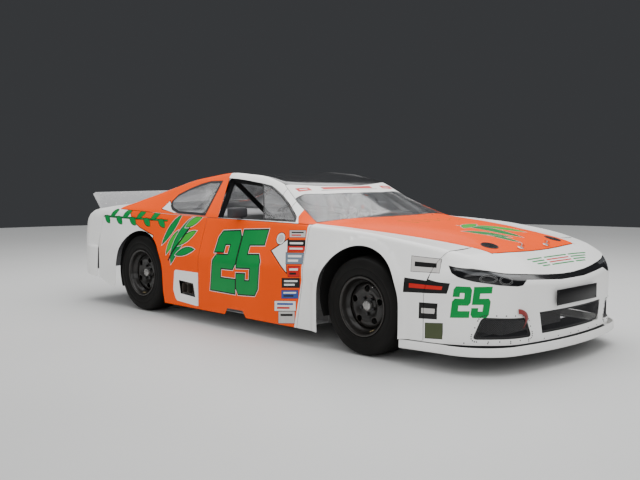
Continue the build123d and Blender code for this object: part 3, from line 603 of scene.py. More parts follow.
def revolve(name, profile, materials, segments=96, indices=None, sharp=32, closed=True):
    """A ring or a solid turned about the Y axis from (radius, y) points, which run round its section."""
    profile = np.array(profile, float)
    angles = np.linspace(0, 2 * math.pi, segments, endpoint=False)
    vertices, rings = [], []
    for r, y in profile:
        if r < 1e-6:
            rings.append([len(vertices)] * segments)
            vertices.append((0, y, 0))
        else:
            rings.append(list(range(len(vertices), len(vertices) + segments)))
            vertices += [(r * math.cos(t), y, r * math.sin(t)) for t in angles]
    faces, marks = [], []
    count = len(rings)
    for k in range(count if closed else count - 1):
        low, high = rings[k], rings[(k + 1) % count]
        for s in range(segments):
            face = [low[s], low[(s + 1) % segments], high[(s + 1) % segments], high[s]]
            face = list(dict.fromkeys(face))
            if len(face) > 2:
                faces.append(face)
                marks.append(indices[k] if indices else 0)
    piece = make_mesh(name, vertices, faces, materials, marks)
    tidy_normals(piece, sharp)
    return piece


def tidy_normals(piece, sharp=32):
    """Turn the faces outwards, and keep edges sharper than an angle crisp."""
    mesh = bmesh.new()
    mesh.from_mesh(piece.data)
    bmesh.ops.remove_doubles(mesh, verts=mesh.verts, dist=1e-6)
    bmesh.ops.recalc_face_normals(mesh, faces=mesh.faces)
    for edge in mesh.edges:
        edge.smooth = len(edge.link_faces) == 2 and edge.calc_face_angle(0) < math.radians(sharp)
    for face in mesh.faces:
        face.smooth = True
    mesh.to_mesh(piece.data)
    mesh.free()
    piece.data.update()


def shift(piece, matrix):
    """Put a piece's mesh in its place, leaving its object at the origin."""
    piece.data.transform(matrix)
    if matrix.determinant() < 0:
        piece.data.flip_normals()
    piece.data.update()
    return piece


def copy_of(piece, name, matrix=None):
    twin = linked(name, piece.data.copy())
    return shift(twin, matrix) if matrix is not None else twin


def join(pieces, name):
    """One object out of several meshes, with their materials kept."""
    materials, mesh = [], bmesh.new()
    for piece in pieces:
        table = []
        for material in piece.data.materials:
            if material not in materials:
                materials.append(material)
            table.append(materials.index(material))
        first = len(mesh.faces)
        mesh.from_mesh(piece.data)
        mesh.faces.ensure_lookup_table()
        for face in mesh.faces[first:]:
            face.material_index = table[face.material_index] if face.material_index < len(table) else 0
    whole = from_bmesh(mesh, name, materials)
    for piece in pieces:
        discard(piece)
    return whole


def discard(piece):
    data = piece.data
    bpy.data.objects.remove(piece)
    bpy.data.meshes.remove(data)


def bevelled_block(name, low, high, material, bevel=0.003, segments=2, turn=None):
    """A block between two corners with rounded edges, turned about its middle when asked."""
    mesh = bmesh.new()
    bmesh.ops.create_cube(mesh, size=1)
    low, high = Vector(low), Vector(high)
    bmesh.ops.scale(mesh, vec=high - low, verts=mesh.verts)
    bmesh.ops.bevel(mesh, geom=list(mesh.edges), offset=min(bevel, min(high - low) * 0.4), segments=segments,
                    profile=0.5, affect="EDGES")
    if turn is not None:
        bmesh.ops.transform(mesh, matrix=turn.to_4x4(), verts=mesh.verts)
    bmesh.ops.translate(mesh, vec=(low + high) / 2, verts=mesh.verts)
    return from_bmesh(mesh, name, [material], 40)


def pipe(name, points, radius, material, segments=16, bend=0.05, closed=False):
    """A tube along points whose corners are rounded, with capped ends."""
    points = [Vector(p) for p in points]
    path = []
    count = len(points)
    for k, p in enumerate(points):
        if not closed and k in (0, count - 1):
            path.append(p)
            continue
        before, after = points[k - 1] - p, points[(k + 1) % count] - p
        r = min(bend, before.length * 0.45, after.length * 0.45)
        a, b = p + before.normalized() * r, p + after.normalized() * r
        path += [(1 - t) ** 2 * a + 2 * t * (1 - t) * p + t**2 * b for t in (0, 0.2, 0.4, 0.6, 0.8, 1)]
    vertices, faces = [], []
    up = None
    total = len(path)
    for k, p in enumerate(path):
        ahead = path[(k + 1) % total] if closed or k < total - 1 else p
        behind = path[k - 1] if closed or k > 0 else p
        along = (ahead - behind).normalized()
        if up is None:
            up = along.cross(Vector((0, 0, 1)) if abs(along.z) < 0.9 else Vector((1, 0, 0))).normalized()
        up = (up - along * up.dot(along)).normalized()
        across = along.cross(up)
        vertices += [p + (up * math.cos(t) + across * math.sin(t)) * radius
                     for t in (2 * math.pi * s / segments for s in range(segments))]
    for k in range(total if closed else total - 1):
        low, high = k * segments, ((k + 1) % total) * segments
        faces += [(low + s, low + (s + 1) % segments, high + (s + 1) % segments, high + s)
                  for s in range(segments)]
    if not closed:
        faces += [list(range(segments)), list(range((total - 1) * segments, total * segments))]
    piece = make_mesh(name, vertices, faces, [material])
    tidy_normals(piece, 50)
    return piece


def eased(points, radius, steps=5):
    """A straight-sided outline with its corners rounded."""
    points = [Vector(p) for p in points]
    out = []
    for k, p in enumerate(points):
        a, b = points[k - 1] - p, points[(k + 1) % len(points)] - p
        r = min(radius, a.length * 0.45, b.length * 0.45)
        a, b = p + a.normalized() * r, p + b.normalized() * r
        out += [(1 - t) ** 2 * a + 2 * t * (1 - t) * p + t**2 * b for t in (s / steps for s in range(steps + 1))]
    return [tuple(p) for p in out]


def strap(name, points, width, across, material, thick=0.0024):
    """Flat webbing along points; across is its width's direction at every point, or one for all."""
    points = [Vector(p) for p in points]
    path = []
    for k in range(len(points) - 1):
        before, after = points[max(k - 1, 0)], points[min(k + 2, len(points) - 1)]
        p, q = points[k], points[k + 1]
        for s in range(6):
            t = s / 6
            path.append(0.5 * ((2 * p) + (q - before) * t + (2 * before - 5 * p + 4 * q - after) * t**2
                               + (3 * p - before - 3 * q + after) * t**3))
    path.append(points[-1])
    vertices = []
    for k, p in enumerate(path):
        along = (path[min(k + 1, len(path) - 1)] - path[max(k - 1, 0)]).normalized()
        side = Vector(across)
        side = (side - along * side.dot(along)).normalized()
        up = along.cross(side) * thick / 2
        for s, bulge in ((-1, 0.4), (-0.9, 1), (0.9, 1), (1, 0.4)):
            vertices.append(p + side * s * width / 2 + up * bulge)
        for s, bulge in ((1, 0.4), (0.9, 1), (-0.9, 1), (-1, 0.4)):
            vertices.append(p + side * s * width / 2 - up * bulge)
    return bar_of(name, vertices, 8, material, 50)


# ---- materials -----------------------------------------------------------------------------------
def socket_group(name, inputs, outputs):
    """An empty shader node group with named inputs and outputs."""
    group = bpy.data.node_groups.new(name, "ShaderNodeTree")
    for label, kind, value in inputs:
        group.interface.new_socket(label, in_out="INPUT", socket_type=kind).default_value = value
    for label, kind in outputs:
        group.interface.new_socket(label, in_out="OUTPUT", socket_type=kind)
    return group, group.nodes.new("NodeGroupInput"), group.nodes.new("NodeGroupOutput")


def node(tree, kind, inputs=None, **settings):
    """A node with its settings, and its inputs set to values or joined to sockets."""
    made = tree.nodes.new(kind)
    for key, value in settings.items():
        setattr(made, key, value)
    for key, value in (inputs or {}).items():
        if isinstance(value, bpy.types.NodeSocket):
            tree.links.new(value, made.inputs[key])
        else:
            made.inputs[key].default_value = value
    return made


def mix(tree, factor, a, b):
    """One colour changing into another."""
    return node(tree, "ShaderNodeMix", {0: factor, 6: a, 7: b}, data_type="RGBA").outputs[2]


def maths(tree, operation, a, b, clamp=False):
    """The result of a sum, a product or a maximum of two values."""
    return node(tree, "ShaderNodeMath", {0: a, 1: b}, operation=operation, use_clamp=clamp).outputs[0]


def noise(tree, place_at, scale, detail, **inputs):
    """Cloudy values from 0 to 1 over a place."""
    return node(tree, "ShaderNodeTexNoise", {"Vector": place_at, "Scale": scale, "Detail": detail,
                                             **inputs}).outputs["Fac"]


def ramp(tree, factor, low, high, start, end):
    """A smooth change from one number to another over a range of a mask."""
    return node(tree, "ShaderNodeMapRange", {"Value": factor, "From Min": low, "From Max": high,
                                             "To Min": start, "To Max": end}).outputs[0]


def road_dust_group():
    """Dust that lies thicker low down, with drifts and specks."""
    group, given, out = socket_group(
        "Road Dust",
        [("Color", "NodeSocketColor", (0.8, 0.8, 0.8, 1)), ("Dust Color", "NodeSocketColor", (0.33, 0.30, 0.26, 1)),
         ("Amount", "NodeSocketFloat", 0.15), ("Height", "NodeSocketFloat", 0.45),
         ("Roughness", "NodeSocketFloat", 0.3)],
        [("Color", "NodeSocketColor"), ("Roughness", "NodeSocketFloat"), ("Mask", "NodeSocketFloat")])
    place_at = node(group, "ShaderNodeTexCoord").outputs["Object"]
    height = node(group, "ShaderNodeSeparateXYZ", {0: place_at}).outputs["Z"]
    low = ramp(group, height, given.outputs["Height"], 0.05, 0.12, 1.0)
    drifts = ramp(group, noise(group, place_at, 5.0, 6.0, Roughness=0.65), 0.35, 0.7, 0.25, 1.0)
    specks = ramp(group, noise(group, place_at, 140.0, 3.0), 0.45, 0.75, 0.55, 1.0)
    mask = maths(group, "MULTIPLY", low, maths(group, "MULTIPLY", drifts, specks))
    mask = maths(group, "MULTIPLY", mask, given.outputs["Amount"], clamp=True)
    group.links.new(mix(group, mask, given.outputs["Color"], given.outputs["Dust Color"]), out.inputs["Color"])
    group.links.new(ramp(group, mask, 0.0, 1.0, given.outputs["Roughness"], 0.9), out.inputs["Roughness"])
    group.links.new(mask, out.inputs["Mask"])
    return group


def surface_grain_group():
    """Fine relief: a slow waviness with a fine grain over it, and a mask of small scuffs."""
    group, given, out = socket_group(
        "Surface Grain",
        [("Fine Scale", "NodeSocketFloat", 900.0), ("Wave Scale", "NodeSocketFloat", 14.0),
         ("Fine Share", "NodeSocketFloat", 0.4), ("Scuffs", "NodeSocketFloat", 0.3)],
        [("Height", "NodeSocketFloat"), ("Scuff", "NodeSocketFloat")])
    place_at = node(group, "ShaderNodeTexCoord").outputs["Object"]
    fine = noise(group, place_at, given.outputs["Fine Scale"], 3.0)
    wave = noise(group, place_at, given.outputs["Wave Scale"], 1.0)
    made = node(group, "ShaderNodeMix", {0: given.outputs["Fine Share"], 2: wave, 3: fine}, data_type="FLOAT")
    group.links.new(made.outputs[0], out.inputs["Height"])
    stretched = node(group, "ShaderNodeMapping", {"Vector": place_at, "Scale": (3.0, 9.0, 26.0)}).outputs[0]
    scuffs = ramp(group, noise(group, stretched, 6.0, 8.0, Roughness=0.75), 0.6, 0.78, 0.0, 1.0)
    group.links.new(maths(group, "MULTIPLY", scuffs, given.outputs["Scuffs"]), out.inputs["Scuff"])
    return group


def worn_edge_group():
    """Bare or lighter material where a convex edge has been rubbed."""
    group, given, out = socket_group(
        "Worn Edge",
        [("Color", "NodeSocketColor", (0.1, 0.1, 0.1, 1)), ("Worn Color", "NodeSocketColor", (0.5, 0.5, 0.5, 1)),
         ("Amount", "NodeSocketFloat", 0.5)],
        [("Color", "NodeSocketColor"), ("Mask", "NodeSocketFloat")])
    place_at = node(group, "ShaderNodeTexCoord").outputs["Object"]
    point = node(group, "ShaderNodeNewGeometry").outputs["Pointiness"]
    ragged = ramp(group, noise(group, place_at, 60.0, 4.0), 0.3, 0.7, -0.03, 0.03)
    mask = ramp(group, maths(group, "ADD", point, ragged), 0.53, 0.62, 0.0, 1.0)
    mask = maths(group, "MULTIPLY", mask, given.outputs["Amount"], clamp=True)
    group.links.new(mix(group, mask, given.outputs["Color"], given.outputs["Worn Color"]), out.inputs["Color"])
    group.links.new(mask, out.inputs["Mask"])
    return group


def shared(name, build):
    return bpy.data.node_groups.get(name) or build()


def finish_of(name, colour, rough=0.4, metallic=0.0, coat=0.0, dust=0.1, dust_height=0.45, fine=900.0, wave=14.0,
              fine_share=0.4, relief=0.0006, strength=0.15, scuffs=0.2, worn=None, vary=0.05, vary_scale=3.0,
              sheen=0.0, dust_colour=(0.33, 0.30, 0.26), specular=0.5):
    """A finish with colour variation, dust, scuffs and fine relief, kept under its name."""
    kept = bpy.data.materials.get(name)
    if kept:
        return kept
    material = bpy.data.materials.new(name)
    material.use_nodes = True
    material.diffuse_color = (*colour[:3], 1)
    tree = material.node_tree
    shader = tree.nodes["Principled BSDF"]
    for key, value in (("Metallic", metallic), ("Coat Weight", coat), ("Coat Roughness", 0.06),
                       ("Sheen Weight", sheen), ("Specular IOR Level", specular)):
        shader.inputs[key].default_value = value
    place_at = node(tree, "ShaderNodeTexCoord").outputs["Object"]
    slow = noise(tree, place_at, vary_scale, 4.0)
    darker = tuple(c * (1 - vary) for c in colour[:3]) + (1,)
    lighter = tuple(min(1, c * (1 + vary)) for c in colour[:3]) + (1,)
    base = mix(tree, ramp(tree, slow, 0.3, 0.7, 0.0, 1.0), darker, lighter)
    if worn:
        edge = node(tree, "ShaderNodeGroup", node_tree=shared("Worn Edge", worn_edge_group))
        tree.links.new(base, edge.inputs["Color"])
        edge.inputs["Worn Color"].default_value = (*worn[:3], 1)
        edge.inputs["Amount"].default_value = 0.6
        base = edge.outputs["Color"]
    grain = node(tree, "ShaderNodeGroup", node_tree=shared("Surface Grain", surface_grain_group))
    for key, value in (("Fine Scale", fine), ("Wave Scale", wave), ("Fine Share", fine_share), ("Scuffs", scuffs)):
        grain.inputs[key].default_value = value
    base = mix(tree, grain.outputs["Scuff"], base, tuple(c * 0.85 + 0.02 for c in colour[:3]) + (1,))
    dusty = node(tree, "ShaderNodeGroup", node_tree=shared("Road Dust", road_dust_group))
    tree.links.new(base, dusty.inputs["Color"])
    tree.links.new(ramp(tree, grain.outputs["Scuff"], 0.0, 1.0, rough, min(1.0, rough + 0.35)),
                   dusty.inputs["Roughness"])
    for key, value in (("Amount", dust), ("Height", dust_height), ("Dust Color", (*dust_colour, 1))):
        dusty.inputs[key].default_value = value
    tree.links.new(dusty.outputs["Color"], shader.inputs["Base Color"])
    tree.links.new(dusty.outputs["Roughness"], shader.inputs["Roughness"])
    bump = node(tree, "ShaderNodeBump", {"Height": grain.outputs["Height"], "Distance": relief,
                                         "Strength": strength})
    tree.links.new(bump.outputs[0], shader.inputs["Normal"])
    return material


def paints():
    return bpy.context.scene.stock_car_paint


LACQUER = dict(dust_height=0.4, fine=1400.0, wave=22.0, fine_share=0.25, relief=0.0008, strength=0.12)


def orange_paint():
    return finish_of("orange_paint", paints().orange, rough=0.38, coat=0.03, dust=0.06, vary=0.03, scuffs=0.1,
                     specular=0.03, dust_colour=(0.34, 0.14, 0.05), **LACQUER)


def white_paint():
    return finish_of("white_paint", paints().white, rough=0.34, coat=0.3, dust=0.2, vary=0.02, scuffs=0.08,
                     specular=0.3, dust_colour=(0.42, 0.40, 0.37), **LACQUER)


def black_paint():
    return finish_of("roof_black_paint", (0.009, 0.009, 0.010), rough=0.16, coat=0.5, dust=0.02, vary=0.2,
                     fine=1400.0, wave=22.0, fine_share=0.25, relief=0.0006, strength=0.08, scuffs=0.1)


DECALS = {"black": (0.012, 0.012, 0.012), "pale": (0.78, 0.77, 0.74), "red": (0.55, 0.016, 0.012),
          "grey": (0.52, 0.50, 0.48), "blue": (0.035, 0.075, 0.30), "slate": (0.16, 0.20, 0.25),
          "olive": (0.060, 0.075, 0.035), "lime": (0.045, 0.40, 0.035)}


def decal(name, colour=None):
    """A printed sheet's finish in one of the colours of DECALS, or in a colour of its own."""
    return finish_of("decal_" + name, colour or DECALS[name], rough=0.34, coat=0.1, dust=0.06, vary=0.04,
                     vary_scale=9.0, fine=700.0, wave=30.0, relief=0.0005, strength=0.12, scuffs=0.06,
                     specular=0.12)


def black_plastic():
    return finish_of("black_plastic", (0.011, 0.011, 0.012), rough=0.45, dust=0.05, specular=0.3, fine=600.0,
                     fine_share=0.7, relief=0.0006, strength=0.35, scuffs=0.25, vary=0.15)


def glossy_black_plastic():
    return finish_of("glossy_black_plastic", (0.006, 0.006, 0.007), rough=0.12, dust=0.02, coat=0.3, scuffs=0.1,
                     vary=0.15, specular=0.35)


def dark_trim():
    return finish_of("dark_trim", (0.020, 0.020, 0.021), rough=0.5, dust=0.05, specular=0.3, fine=600.0, vary=0.1,
                     scuffs=0.2)


def sheet_metal():
    return finish_of("aluminium_sheet", (0.42, 0.42, 0.43), rough=0.42, metallic=0.9, dust=0.3, vary=0.10,
                     vary_scale=12.0, fine=260.0, wave=8.0, relief=0.0008, strength=0.3, scuffs=0.6)


def grey_panel():
    return finish_of("grey_cabin_paint", (0.30, 0.30, 0.31), rough=0.5, dust=0.25, vary=0.08, scuffs=0.4,
                     worn=(0.45, 0.45, 0.45))


def frame_steel():
    return finish_of("frame_grey_paint", (0.17, 0.175, 0.18), rough=0.42, dust=0.2, vary=0.08, scuffs=0.4,
                     worn=(0.42, 0.41, 0.40))


def cage_padding():
    return finish_of("cage_padding", (0.014, 0.014, 0.015), rough=0.75, dust=0.04, specular=0.25, fine=420.0, wave=40.0,
                     fine_share=0.5, relief=0.0012, strength=0.5, scuffs=0.2, vary=0.2)


def bright_fastener():
    return finish_of("bright_fastener", (0.66, 0.65, 0.63), rough=0.28, metallic=1.0, dust=0.1, vary=0.08,
                     vary_scale=60.0, fine=900.0, scuffs=0.3)


def dark_fastener():
    return finish_of("dark_fastener", (0.04, 0.04, 0.042), rough=0.4, metallic=0.7, dust=0.1, vary=0.1,
                     vary_scale=60.0)


def cast_iron():
    return finish_of("cast_iron", (0.06, 0.06, 0.064), rough=0.62, metallic=0.5, dust=0.2, fine=220.0,
                     fine_share=0.8, relief=0.0016, strength=0.5, worn=(0.25, 0.24, 0.23), vary=0.2)


def wheel_paint():
    return finish_of("wheel_black_paint", (0.008, 0.0078, 0.0076), rough=0.26, coat=0.15, dust=0.35,
                     dust_height=0.75, dust_colour=(0.06, 0.045, 0.035), worn=(0.05, 0.042, 0.036), vary=0.2,
                     scuffs=0.2, specular=0.4)


def mirror_glass():
    return finish_of("mirror_silver", (0.80, 0.80, 0.80), rough=0.05, metallic=1.0, dust=0.1, vary=0.02,
                     scuffs=0.1, relief=0.0001, strength=0.03)


def clear_material(name, tint, weight, rough, haze_and_reflection):
    """Clear sheet: thin, with a slight haze of dust and fine scratches, and a pale, partly opaque film that is painted
    reflection of the bright ceiling.
    """
    kept = bpy.data.materials.get(name)
    if kept:
        return kept
    material = bpy.data.materials.new(name)
    material.use_nodes = True
    tree = material.node_tree
    shader = tree.nodes["Principled BSDF"]
    for key, value in (("Metallic", 0.0), ("Transmission Weight", weight), ("IOR", 1.12), ("Coat Weight", 0.6)):
        shader.inputs[key].default_value = value
    place_at = node(tree, "ShaderNodeTexCoord").outputs["Object"]
    cloud = noise(tree, place_at, 3.5, 6.0, Roughness=0.6)
    grain = node(tree, "ShaderNodeGroup", node_tree=shared("Surface Grain", surface_grain_group))
    grain.inputs["Scuffs"].default_value = 0.35
    # the haze mask: dust and fine scratches, and also painted reflection that lightens the whole sheet
    haze_and_reflection_mask = maths(tree, "ADD", ramp(tree, cloud, 0.4, 0.75, haze_and_reflection * 0.5, haze_and_reflection), grain.outputs["Scuff"], clamp=True)
    tree.links.new(mix(tree, haze_and_reflection_mask, (*tint, 1), (0.75, 0.74, 0.72, 1)), shader.inputs["Base Color"])
    tree.links.new(ramp(tree, haze_and_reflection_mask, 0.0, 1.0, rough, rough + 0.3), shader.inputs["Roughness"])
    # even the clearest part keeps an alpha of 0.30 in the pale tint: painted reflection
    tree.links.new(ramp(tree, haze_and_reflection_mask, 0.0, 1.0, 0.30, 0.85), shader.inputs["Alpha"])
    bump = node(tree, "ShaderNodeBump", {"Height": grain.outputs["Height"], "Distance": 0.0004,
                                         "Strength": 0.08})
    tree.links.new(bump.outputs[0], shader.inputs["Normal"])
    return material


def windscreen_glass():
    return clear_material("windscreen_polycarbonate", (0.80, 0.82, 0.84), 0.9, 0.04, 0.16)


def side_glass():
    return clear_material("side_polycarbonate", (0.82, 0.83, 0.84), 0.9, 0.05, 0.22)


def tyre_rubber():
    """Smooth, slightly dusty rubber for the sidewalls."""
    return finish_of("tyre_rubber", (0.0065, 0.0063, 0.006), rough=0.55, dust=0.3, dust_height=0.8,
                     dust_colour=(0.028, 0.023, 0.019), specular=0.14, fine=380.0, wave=60.0, fine_share=0.65,
                     relief=0.0012, strength=0.45, scuffs=0.3, vary=0.25, vary_scale=8.0)


def scrubbed_tread():
    """Rougher, paler rubber for the tread."""
    return finish_of("scrubbed_tread", (0.012, 0.0115, 0.011), rough=0.85, dust=0.3, dust_height=0.9,
                     dust_colour=(0.04, 0.034, 0.029), specular=0.1, fine=240.0,
                     wave=45.0, fine_share=0.75, relief=0.003, strength=0.7, scuffs=0.2, vary=0.3, vary_scale=10.0)


def woven_fabric(name, colour, rough=0.8, weave=700.0, sheen=0.2):
    """Cloth or webbing: crossed threads in relief with a slight change of colour along them."""
    kept = bpy.data.materials.get(name)
    if kept:
        return kept
    material = finish_of(name, colour, rough=rough, dust=0.1, vary=0.12, vary_scale=14.0, sheen=sheen,
                         scuffs=0.15)
    tree = material.node_tree
    shader = tree.nodes["Principled BSDF"]
    place_at = node(tree, "ShaderNodeTexCoord").outputs["Object"]
    threads = [node(tree, "ShaderNodeTexWave", {"Vector": place_at, "Scale": weave, "Distortion": 0.6},
                    wave_type="BANDS", bands_direction=direction).outputs["Fac"] for direction in ("Y", "Z")]
    crossed = maths(tree, "MULTIPLY", *threads)
    bump = node(tree, "ShaderNodeBump", {"Height": crossed, "Distance": 0.0012, "Strength": 0.5})
    tree.links.new(bump.outputs[0], shader.inputs["Normal"])
    return material


# ---- repeated things -----------------------------------------------------------------------------
def geometry_tree(name, inputs):
    tree = bpy.data.node_groups.new(name, "GeometryNodeTree")
    tree.interface.new_socket("Geometry", in_out="INPUT", socket_type="NodeSocketGeometry")
    for label, kind, value in inputs:
        socket = tree.interface.new_socket(label, in_out="INPUT", socket_type=kind)
        if value is not None:
            socket.default_value = value
    tree.interface.new_socket("Geometry", in_out="OUTPUT", socket_type="NodeSocketGeometry")
    return tree, tree.nodes.new("NodeGroupInput"), tree.nodes.new("NodeGroupOutput")


def finish_tree(tree, given, out, geometry):
    """Realize what was placed, give it its finish and send it out."""
    solid = node(tree, "GeometryNodeRealizeInstances", {0: geometry}).outputs[0]
    coloured = node(tree, "GeometryNodeSetMaterial", {"Geometry": solid, "Material": given.outputs["Finish"]})
    tree.links.new(coloured.outputs[0], out.inputs[0])
    return tree


def fastener_tree():
    """Domed heads on points, each facing the way its point's facing attribute says."""
    kept = bpy.data.node_groups.get("Fastener Heads")
    if kept:
        return kept
    tree, given, out = geometry_tree("Fastener Heads", [
        ("Head Radius", "NodeSocketFloat", 0.006), ("Head Height", "NodeSocketFloat", 0.003),
        ("Sides", "NodeSocketInt", 12), ("Finish", "NodeSocketMaterial", None)])
    ball = node(tree, "GeometryNodeMeshUVSphere", {"Segments": given.outputs["Sides"], "Rings": 6, "Radius": 1.0})
    size = node(tree, "ShaderNodeCombineXYZ", {0: given.outputs["Head Radius"], 1: given.outputs["Head Radius"],
                                               2: given.outputs["Head Height"]})
    head = node(tree, "GeometryNodeTransform", {"Geometry": ball.outputs[0], "Scale": size.outputs[0]})
    facing = node(tree, "GeometryNodeInputNamedAttribute", {"Name": "facing"}, data_type="FLOAT_VECTOR")
    turn = node(tree, "FunctionNodeAlignEulerToVector", {"Vector": facing.outputs[0]}, axis="Z")
    placed = node(tree, "GeometryNodeInstanceOnPoints", {"Points": given.outputs[0],
                                                         "Instance": head.outputs[0],
                                                         "Rotation": turn.outputs[0]})
    return finish_tree(tree, given, out, placed.outputs[0])


def wire_tree():
    """Round wires along the edges that are given."""
    kept = bpy.data.node_groups.get("Wire Runs")
    if kept:
        return kept
    tree, given, out = geometry_tree("Wire Runs", [
        ("Wire Radius", "NodeSocketFloat", 0.001), ("Wire Sides", "NodeSocketInt", 5),
        ("Finish", "NodeSocketMaterial", None)])
    runs = node(tree, "GeometryNodeMeshToCurve", {"Mesh": given.outputs[0]})
    ring = node(tree, "GeometryNodeCurvePrimitiveCircle", {"Resolution": given.outputs["Wire Sides"],
                                                           "Radius": given.outputs["Wire Radius"]})
    wires = node(tree, "GeometryNodeCurveToMesh", {"Curve": runs.outputs[0], "Profile Curve": ring.outputs[0],
                                                   "Fill Caps": True})
    return finish_tree(tree, given, out, wires.outputs[0])


def grown(name, tree, points, edges=(), facing=None, **values):
    """A plain mesh of what a tree makes on points and edges, with the tree's inputs set by name."""
    mesh = bpy.data.meshes.new(name)
    mesh.from_pydata([tuple(p) for p in points], [tuple(e) for e in edges], [])
    if facing is not None:
        mesh.attributes.new("facing", "FLOAT_VECTOR", "POINT").data.foreach_set(
            "vector", np.asarray(facing, np.float32).ravel())
    piece = linked(name, mesh)
    modifier = piece.modifiers.new("Repeat", "NODES")
    modifier.node_group = tree
    for item in tree.interface.items_tree:
        key = item.name.replace(" ", "_").lower()
        if item.in_out == "INPUT" and key in values:
            modifier[item.identifier] = values[key]
    graph = bpy.context.evaluated_depsgraph_get()
    result = bpy.data.meshes.new_from_object(piece.evaluated_get(graph))
    piece.modifiers.clear()
    piece.data = result
    bpy.data.meshes.remove(mesh)
    result.name = name
    if not len(result.polygons):
        raise RuntimeError(f"{name} came out empty")
    if "facing" in result.attributes:
        result.attributes.remove(result.attributes["facing"])
    result.polygons.foreach_set("use_smooth", [True] * len(result.polygons))
    return piece


def fasteners(name, points, facing, finish, head_radius=0.006, head_height=0.003, sides=12):
    return grown(name, fastener_tree(), points, facing=facing, head_radius=head_radius,
                 head_height=head_height, sides=sides, finish=finish)


def wires(name, runs, finish, wire_radius=0.001, wire_sides=5):
    """Wires along several runs of points."""
    points, edges = [], []
    for run in runs:
        first = len(points)
        points += [tuple(p) for p in run]
        edges += [(first + k, first + k + 1) for k in range(len(run) - 1)]
    return grown(name, wire_tree(), points, edges, wire_radius=wire_radius, wire_sides=wire_sides, finish=finish)


# ---- panel joints, metres ------------------------------------------------------------------------
def mm(points):
    return np.array(points, float) / 1000


HOOD_SIDE = mm([(806, 797), (950, 762), (1050, 744), (1390, 680), (1760, 607), (1900, 579), (2050, 550),
                (2187, 524)])
HOOD_CENTRE_REAR, HOOD_CENTRE_FRONT = 0.950, 2.228
GLASS_SIDE = mm([(262, 600), (530, 687), (798, 775)])
GLASS_CENTRE_REAR, GLASS_CENTRE_FRONT = 0.350, 0.942
REAR_GLASS_SIDE = mm([(-930, 600), (-1330, 654), (-1600, 705), (-1790, 730)])
REAR_GLASS_CENTRE = -0.960
DECK_SIDE = mm([(-1797, 735), (-2060, 749), (-2385, 742)])
DOOR_FRONT = mm([(822, 900), (838, 487), (769, 100)])
DOOR_REAR_X = -0.440
FASCIA = mm([(2046, 784), (1993, 690), (1948, 492), (1947, 198), (1911, 100)])
BELT_CUT = mm([(822, 891), (-460, 893), (-950, 899), (-1330, 908), (-1790, 919)])
DOOR_WINDOW = mm([(-305, 896), (-450, 1222), (-330, 1217), (-190, 1205), (14, 1183), (134, 1166), (227, 1132),
                  (322, 1091), (411, 1045), (500, 994), (604, 938), (640, 900)])
QUARTER_WINDOW = mm([(-480, 902), (-513, 1200), (-680, 1194), (-800, 1168), (-925, 1124), (-1035, 1072),
                     (-1070, 1010), (-1045, 970), (-985, 935), (-870, 906)])
VENT_WINDOW = mm([(269, 902), (12, 1180), (132, 1162), (225, 1128), (320, 1087), (409, 1041), (498, 990),
                  (600, 935), (632, 904)])
EXHAUST_HOLE = mm([(-717, 344), (-511, 333), (-482, 218), (-693, 230)])
JACK_NOTCH = mm([(-84, 118), (-52, 170), (142, 170), (181, 118)])
SEAM, LID_GAP = 0.004, 0.008


def bow(corner, centre, steps=16):
    """Plan points along an arc across the car from its left corner to its right one."""
    (x, y) = corner
    if abs(x - centre) < 1e-6:
        return [(x, y * (1 - k / steps * 2)) for k in range(steps + 1)]
    return arc_through((x, y), (centre, 0), (x, -y), steps)


def grow_side(side, gap):
    """The left side of a plan outline moved outwards by gap."""
    side = np.array(side)
    along = np.gradient(side, axis=0)
    along /= np.linalg.norm(along, axis=1)[:, None]
    out = np.stack([-along[:, 1], along[:, 0]], 1)
    out *= np.sign(out[:, 1:2])
    return side + out * gap


def lid_outline(side, rear_centre, front_centre, gap=0.0):
    """A closed plan outline, left side from its first end to its last, then round."""
    left = grow_side(side, gap) if gap else np.array(side)
    first, last = side[0][0], side[-1][0]
    sign = 1 if last > first else -1
    left[0][0] -= sign * gap
    left[-1][0] += sign * gap
    left = list(map(tuple, left))
    right = [(x, -y) for x, y in reversed(left)]
    return (left + bow(left[-1], front_centre + sign * gap)[1:-1] + right
            + bow((left[0][0], -left[0][1]), rear_centre - sign * gap)[1:-1])


def sill_line(x0, x1, rise=0.0):
    """(x, z) along the bottom edge between two places."""
    xs = np.linspace(x0, x1, max(2, int(abs(x1 - x0) / 0.03)))
    return np.stack([xs, np.interp(xs, COLUMN_X, COLUMNS[0]) + rise], 1)


def arch_line(arch, feet):
    """(x, z) round a wheel arch from its front foot to its rear foot."""
    cx, cz = arch
    low_rear = np.interp(feet[0], COLUMN_X, COLUMNS[0])
    low_front = np.interp(feet[1], COLUMN_X, COLUMNS[0])
    angles = np.linspace(0, math.pi, 40)
    curve = [(cx + ARCH_R * math.cos(t), cz + ARCH_R * math.sin(t)) for t in angles]

    def foot(x_foot, x_top, z):
        return x_foot + (x_top - x_foot) * (z - 0.10) / (cz - 0.10)
    start = (foot(feet[1], cx + ARCH_R, low_front), low_front)
    end = (foot(feet[0], cx - ARCH_R, low_rear), low_rear)
    return np.array([start, *curve, end])


def side_loop(points, side, step=0.015):
    """A closed (x, z) outline on the flank as a flat pattern."""
    return from_side(dense_path(points, step, closed=True), side)


def plan_loop(points, step=0.02):
    return from_plan(dense_path(points, step, closed=True))


